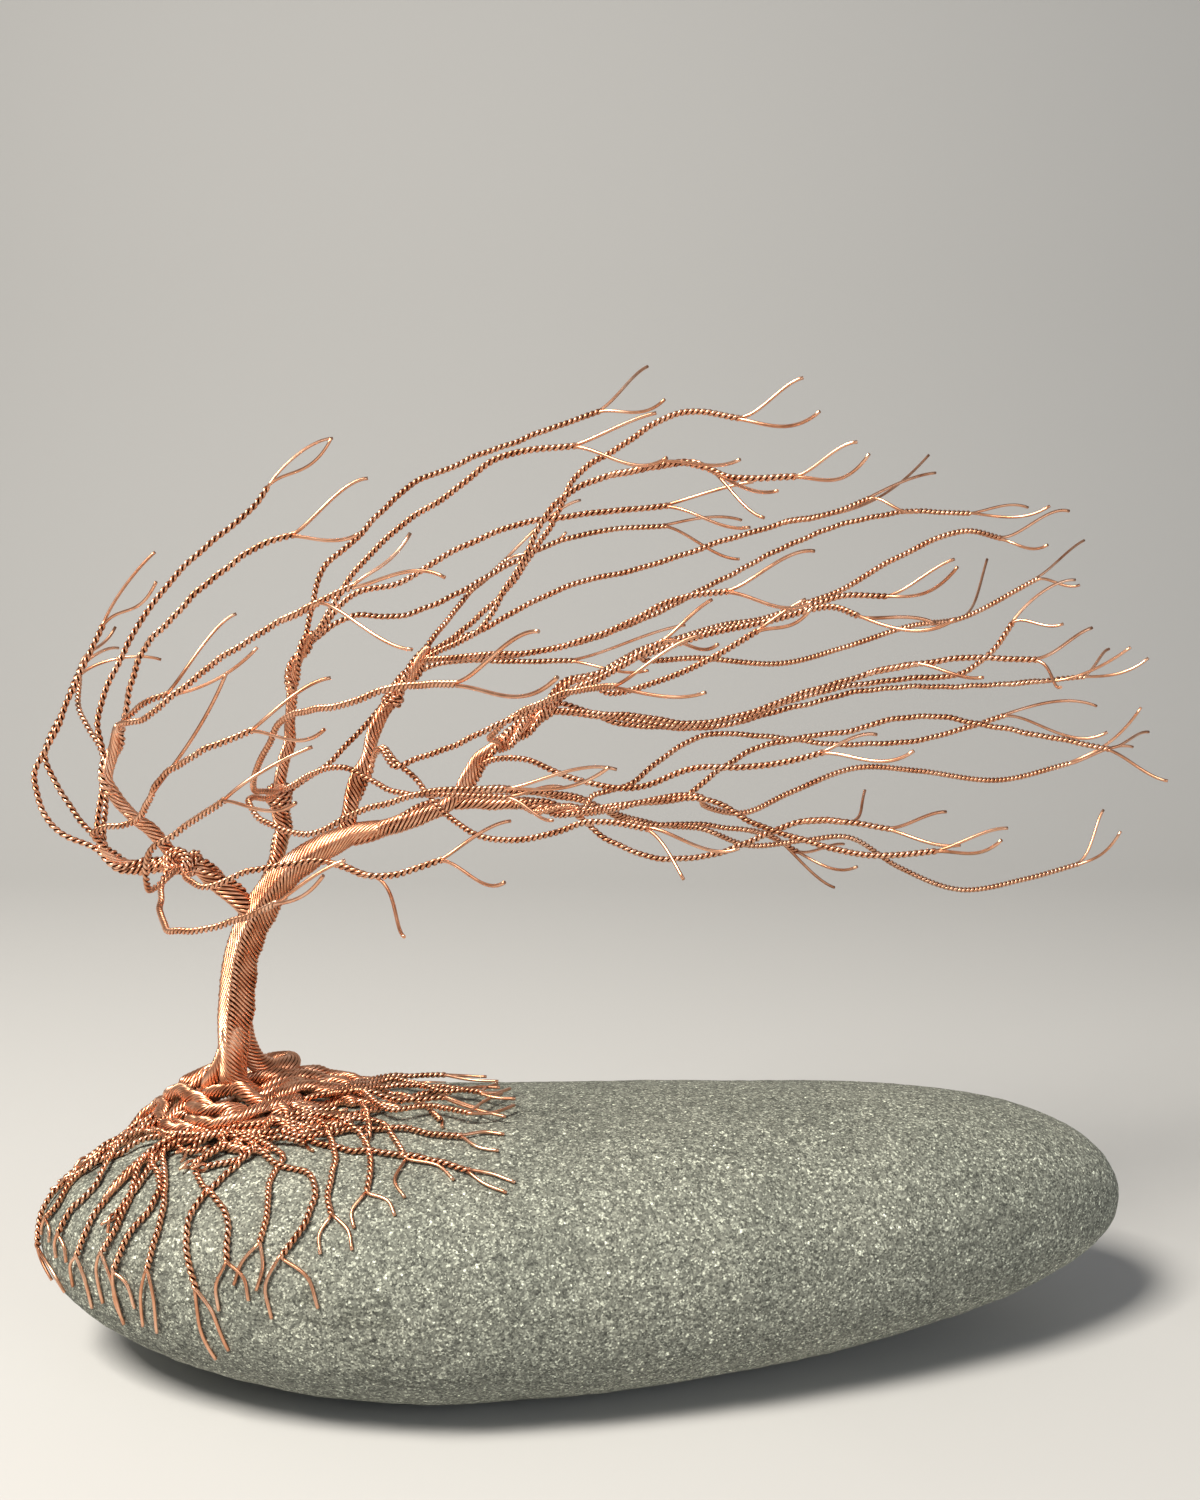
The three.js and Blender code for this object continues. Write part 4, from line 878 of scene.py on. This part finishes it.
def root_group(name, cord, roots, material, seed):
    """Roots fan out of a cord that comes from under the nest."""
    rng = np.random.default_rng(seed)
    wires = Wires()
    onward = next(([route[0]] for start, route, _ in (roots[-1], roots[0]) if start == 1.0), [])
    stops = [towards_nest(cord[0], 0.4)] + cord + onward
    line = along_stone(stops, [1.6] + [0.85] * (len(stops) - 2) + [0.6], LONG_SPACING)
    u = arc(line) / arc(line)[-1]
    wires.rope(line, np.interp(u, [0, 0.5, 1], [0.8, 0.68, 0.47]), CORD_LAY, rng.uniform(0, ANY_ANGLE))
    cord_plan = spline([(x, turn, 0) for x, turn in cord], 0.1)
    lift = LIFTED.get(name, 0)
    for start, route, tips in roots:
        first = cord_plan[int(start * (len(cord_plan) - 1))]
        before = cord_plan[max(0, int((start - 0.35) * (len(cord_plan) - 1)))]
        stops = [towards_nest(before, 0.25), (first[0], first[1])] + route
        curve = along_stone(stops, [2.0, 1.3 + lift] + [0.55 + lift] * len(route))
        curve = wander(curve, rng, 0.10, 7.0)
        root_pair(wires, curve, route[-1], tips, PITCH * rng.uniform(0.95, 1.25), lift)
    place_piece(wires.mesh(name + "_wires"), material, "copper_wire", name)


def root_pair(wires, curve, last, tips, pitch, lift):
    """A root, whose two wires part at its last stop and run on over the stone to their tips."""
    ends = [on_stone(x, turn, R) for x, turn in tips]
    turn = pair_phase(curve, pitch, ends[0] - ends[1])
    for k in range(2):
        path = around(curve, turn + math.pi * k, np.full(len(curve), R))
        spread = 0.22 * (np.array(tips[k], float) - np.array(tips[1 - k], float))
        middle = 0.55 * np.array(last, float) + 0.45 * np.array(tips[k], float) + spread
        run = along_stone([last, tuple(middle), tips[k]], R + 0.1 + 0.8 * lift, 0.5)
        run = run + (path[-1] - run[0]) * np.linspace(1, 0, len(run))[:, None] ** 2
        free_run(wires, path, curve, np.vstack([path, run[1:]]))


def nest(material):
    """The thick cords of the nest, and the thin pairs that cross in front of it."""
    rng = np.random.default_rng(NEST_SEED)
    wires = Wires()
    for outer, points in NEST:
        p = np.array(points, float)
        p[:, 2] += stone_top(p[:, 0], p[:, 1])
        curve = wander(spline(p, LONG_SPACING), rng, 0.10, 5.0)
        wires.rope(curve, outer, LAY, rng.uniform(0, ANY_ANGLE))
    for points in WEAVE:
        curve = wander(along_stone([p[:2] for p in points], [p[2] for p in points]), rng, 0.10, 6.0)
        s = arc(curve)
        near = np.full(s.shape, PARTING)
        if points[-1][2] <= 0.6:
            near = np.minimum(near, s[-1] - s)
        if points[0][2] <= 0.6:
            near = np.minimum(near, s)
        open_share = 1 - near / PARTING
        pitch = PITCH * rng.uniform(1, 1.2) / np.clip(1 - open_share, 0.05, 1)
        turn = pair_phase(curve, pitch, np.cross(curve[-1] - curve[-2], (0, -0.5, 1)))
        for k in range(2):
            reach = R + (0.45 + 0.2 * k) * open_share ** 1.5
            length = len(s) - 8 * k
            path = around(curve, turn + math.pi * k, reach)
            wires.add(path[:length], axis=curve[:length], open_share=open_share[:length])
    place_piece(wires.mesh("root_nest_cords"), material, "copper_wire", "root_nest")


# ---------- camera, floor and light ----------


def camera():
    lens, tilt = 34.8, 7.5           # mm, and degrees down
    data = bpy.data.cameras.new("camera")
    data.lens = lens
    eye = bpy.data.objects.new("camera", data)
    eye.location = (0.003, -0.196, 0.112)
    eye.rotation_euler = (math.radians(90 - tilt), 0, 0)
    bpy.context.scene.collection.objects.link(eye)
    bpy.context.scene.camera = eye


def floor():
    """A pale floor that bends up into a backdrop."""
    half_width, front, back, high, bend, steps = 1.44, -1.2, 0.55, 0.9, 0.25, 16
    profile = [(front, 0.0), (back - bend, 0.0)]
    for i in range(1, steps + 1):
        a = math.pi / 2 * i / steps
        profile.append((back - bend + bend * math.sin(a), bend - bend * math.cos(a)))
    profile.append((back, high))
    points = [(x, y, z) for y, z in profile for x in (-half_width, half_width)]
    faces = [(2 * i, 2 * i + 1, 2 * i + 3, 2 * i + 2) for i in range(len(profile) - 1)]
    mesh = bpy.data.meshes.new("backdrop")
    mesh.from_pydata(points, [], faces)
    mesh.polygons.foreach_set("use_smooth", [True] * len(faces))
    piece = bpy.data.objects.new("backdrop", mesh)
    material = bpy.data.materials.new("pale_floor")
    material.use_nodes = True
    shader = material.node_tree.nodes["Principled BSDF"]
    shader.inputs["Base Color"].default_value = (0.50, 0.496, 0.485, 1)
    shader.inputs["Roughness"].default_value = 0.9
    mesh.materials.append(material)
    bpy.context.scene.collection.objects.link(piece)


def area_light(name, place, aim, size, power, colour):
    data = bpy.data.lights.new(name, "AREA")
    data.shape = "RECTANGLE"
    data.size, data.size_y = size
    data.energy = power
    data.color = colour
    lamp = bpy.data.objects.new(name, data)
    lamp.location = place
    direction = np.array(aim) - np.array(place)
    lamp.rotation_euler = Vector(direction).to_track_quat("-Z", "Y").to_euler()
    bpy.context.scene.collection.objects.link(lamp)


def lights():
    world = bpy.data.worlds.new("world")
    bpy.context.scene.world = world
    world.use_nodes = True
    background = world.node_tree.nodes["Background"]
    background.inputs["Color"].default_value = (0.80, 0.84, 0.90, 1)
    background.inputs["Strength"].default_value = 0.22
    area_light("key", (-0.27, -0.28, 0.59), (-0.01, 0, 0.06), (0.20, 0.20), 8.2, (1.0, 0.95, 0.87))
    area_light("fill", (0.7, -0.6, 0.35), (0, 0, 0.06), (0.5, 0.5), 1.8, (0.9, 0.95, 1.0))
    bpy.context.scene.view_settings.view_transform = "Standard"


camera()
floor()
lights()
COPPER, STONE = copper_material(), stone_material()
pebble(STONE)
trunk(COPPER)
for index, (name, (radii, route)) in enumerate(BOUGHS.items()):
    bough(name, radii, route, COPPER, BOUGH_SEED + index)
for index, (name, plan) in enumerate(TWIGS.items()):
    twig(name, plan, COPPER, TWIG_SEED + index)
for index, (name, (cord, roots)) in enumerate(ROOTS.items()):
    root_group(name, cord, roots, COPPER, ROOT_SEED + index)
nest(COPPER)
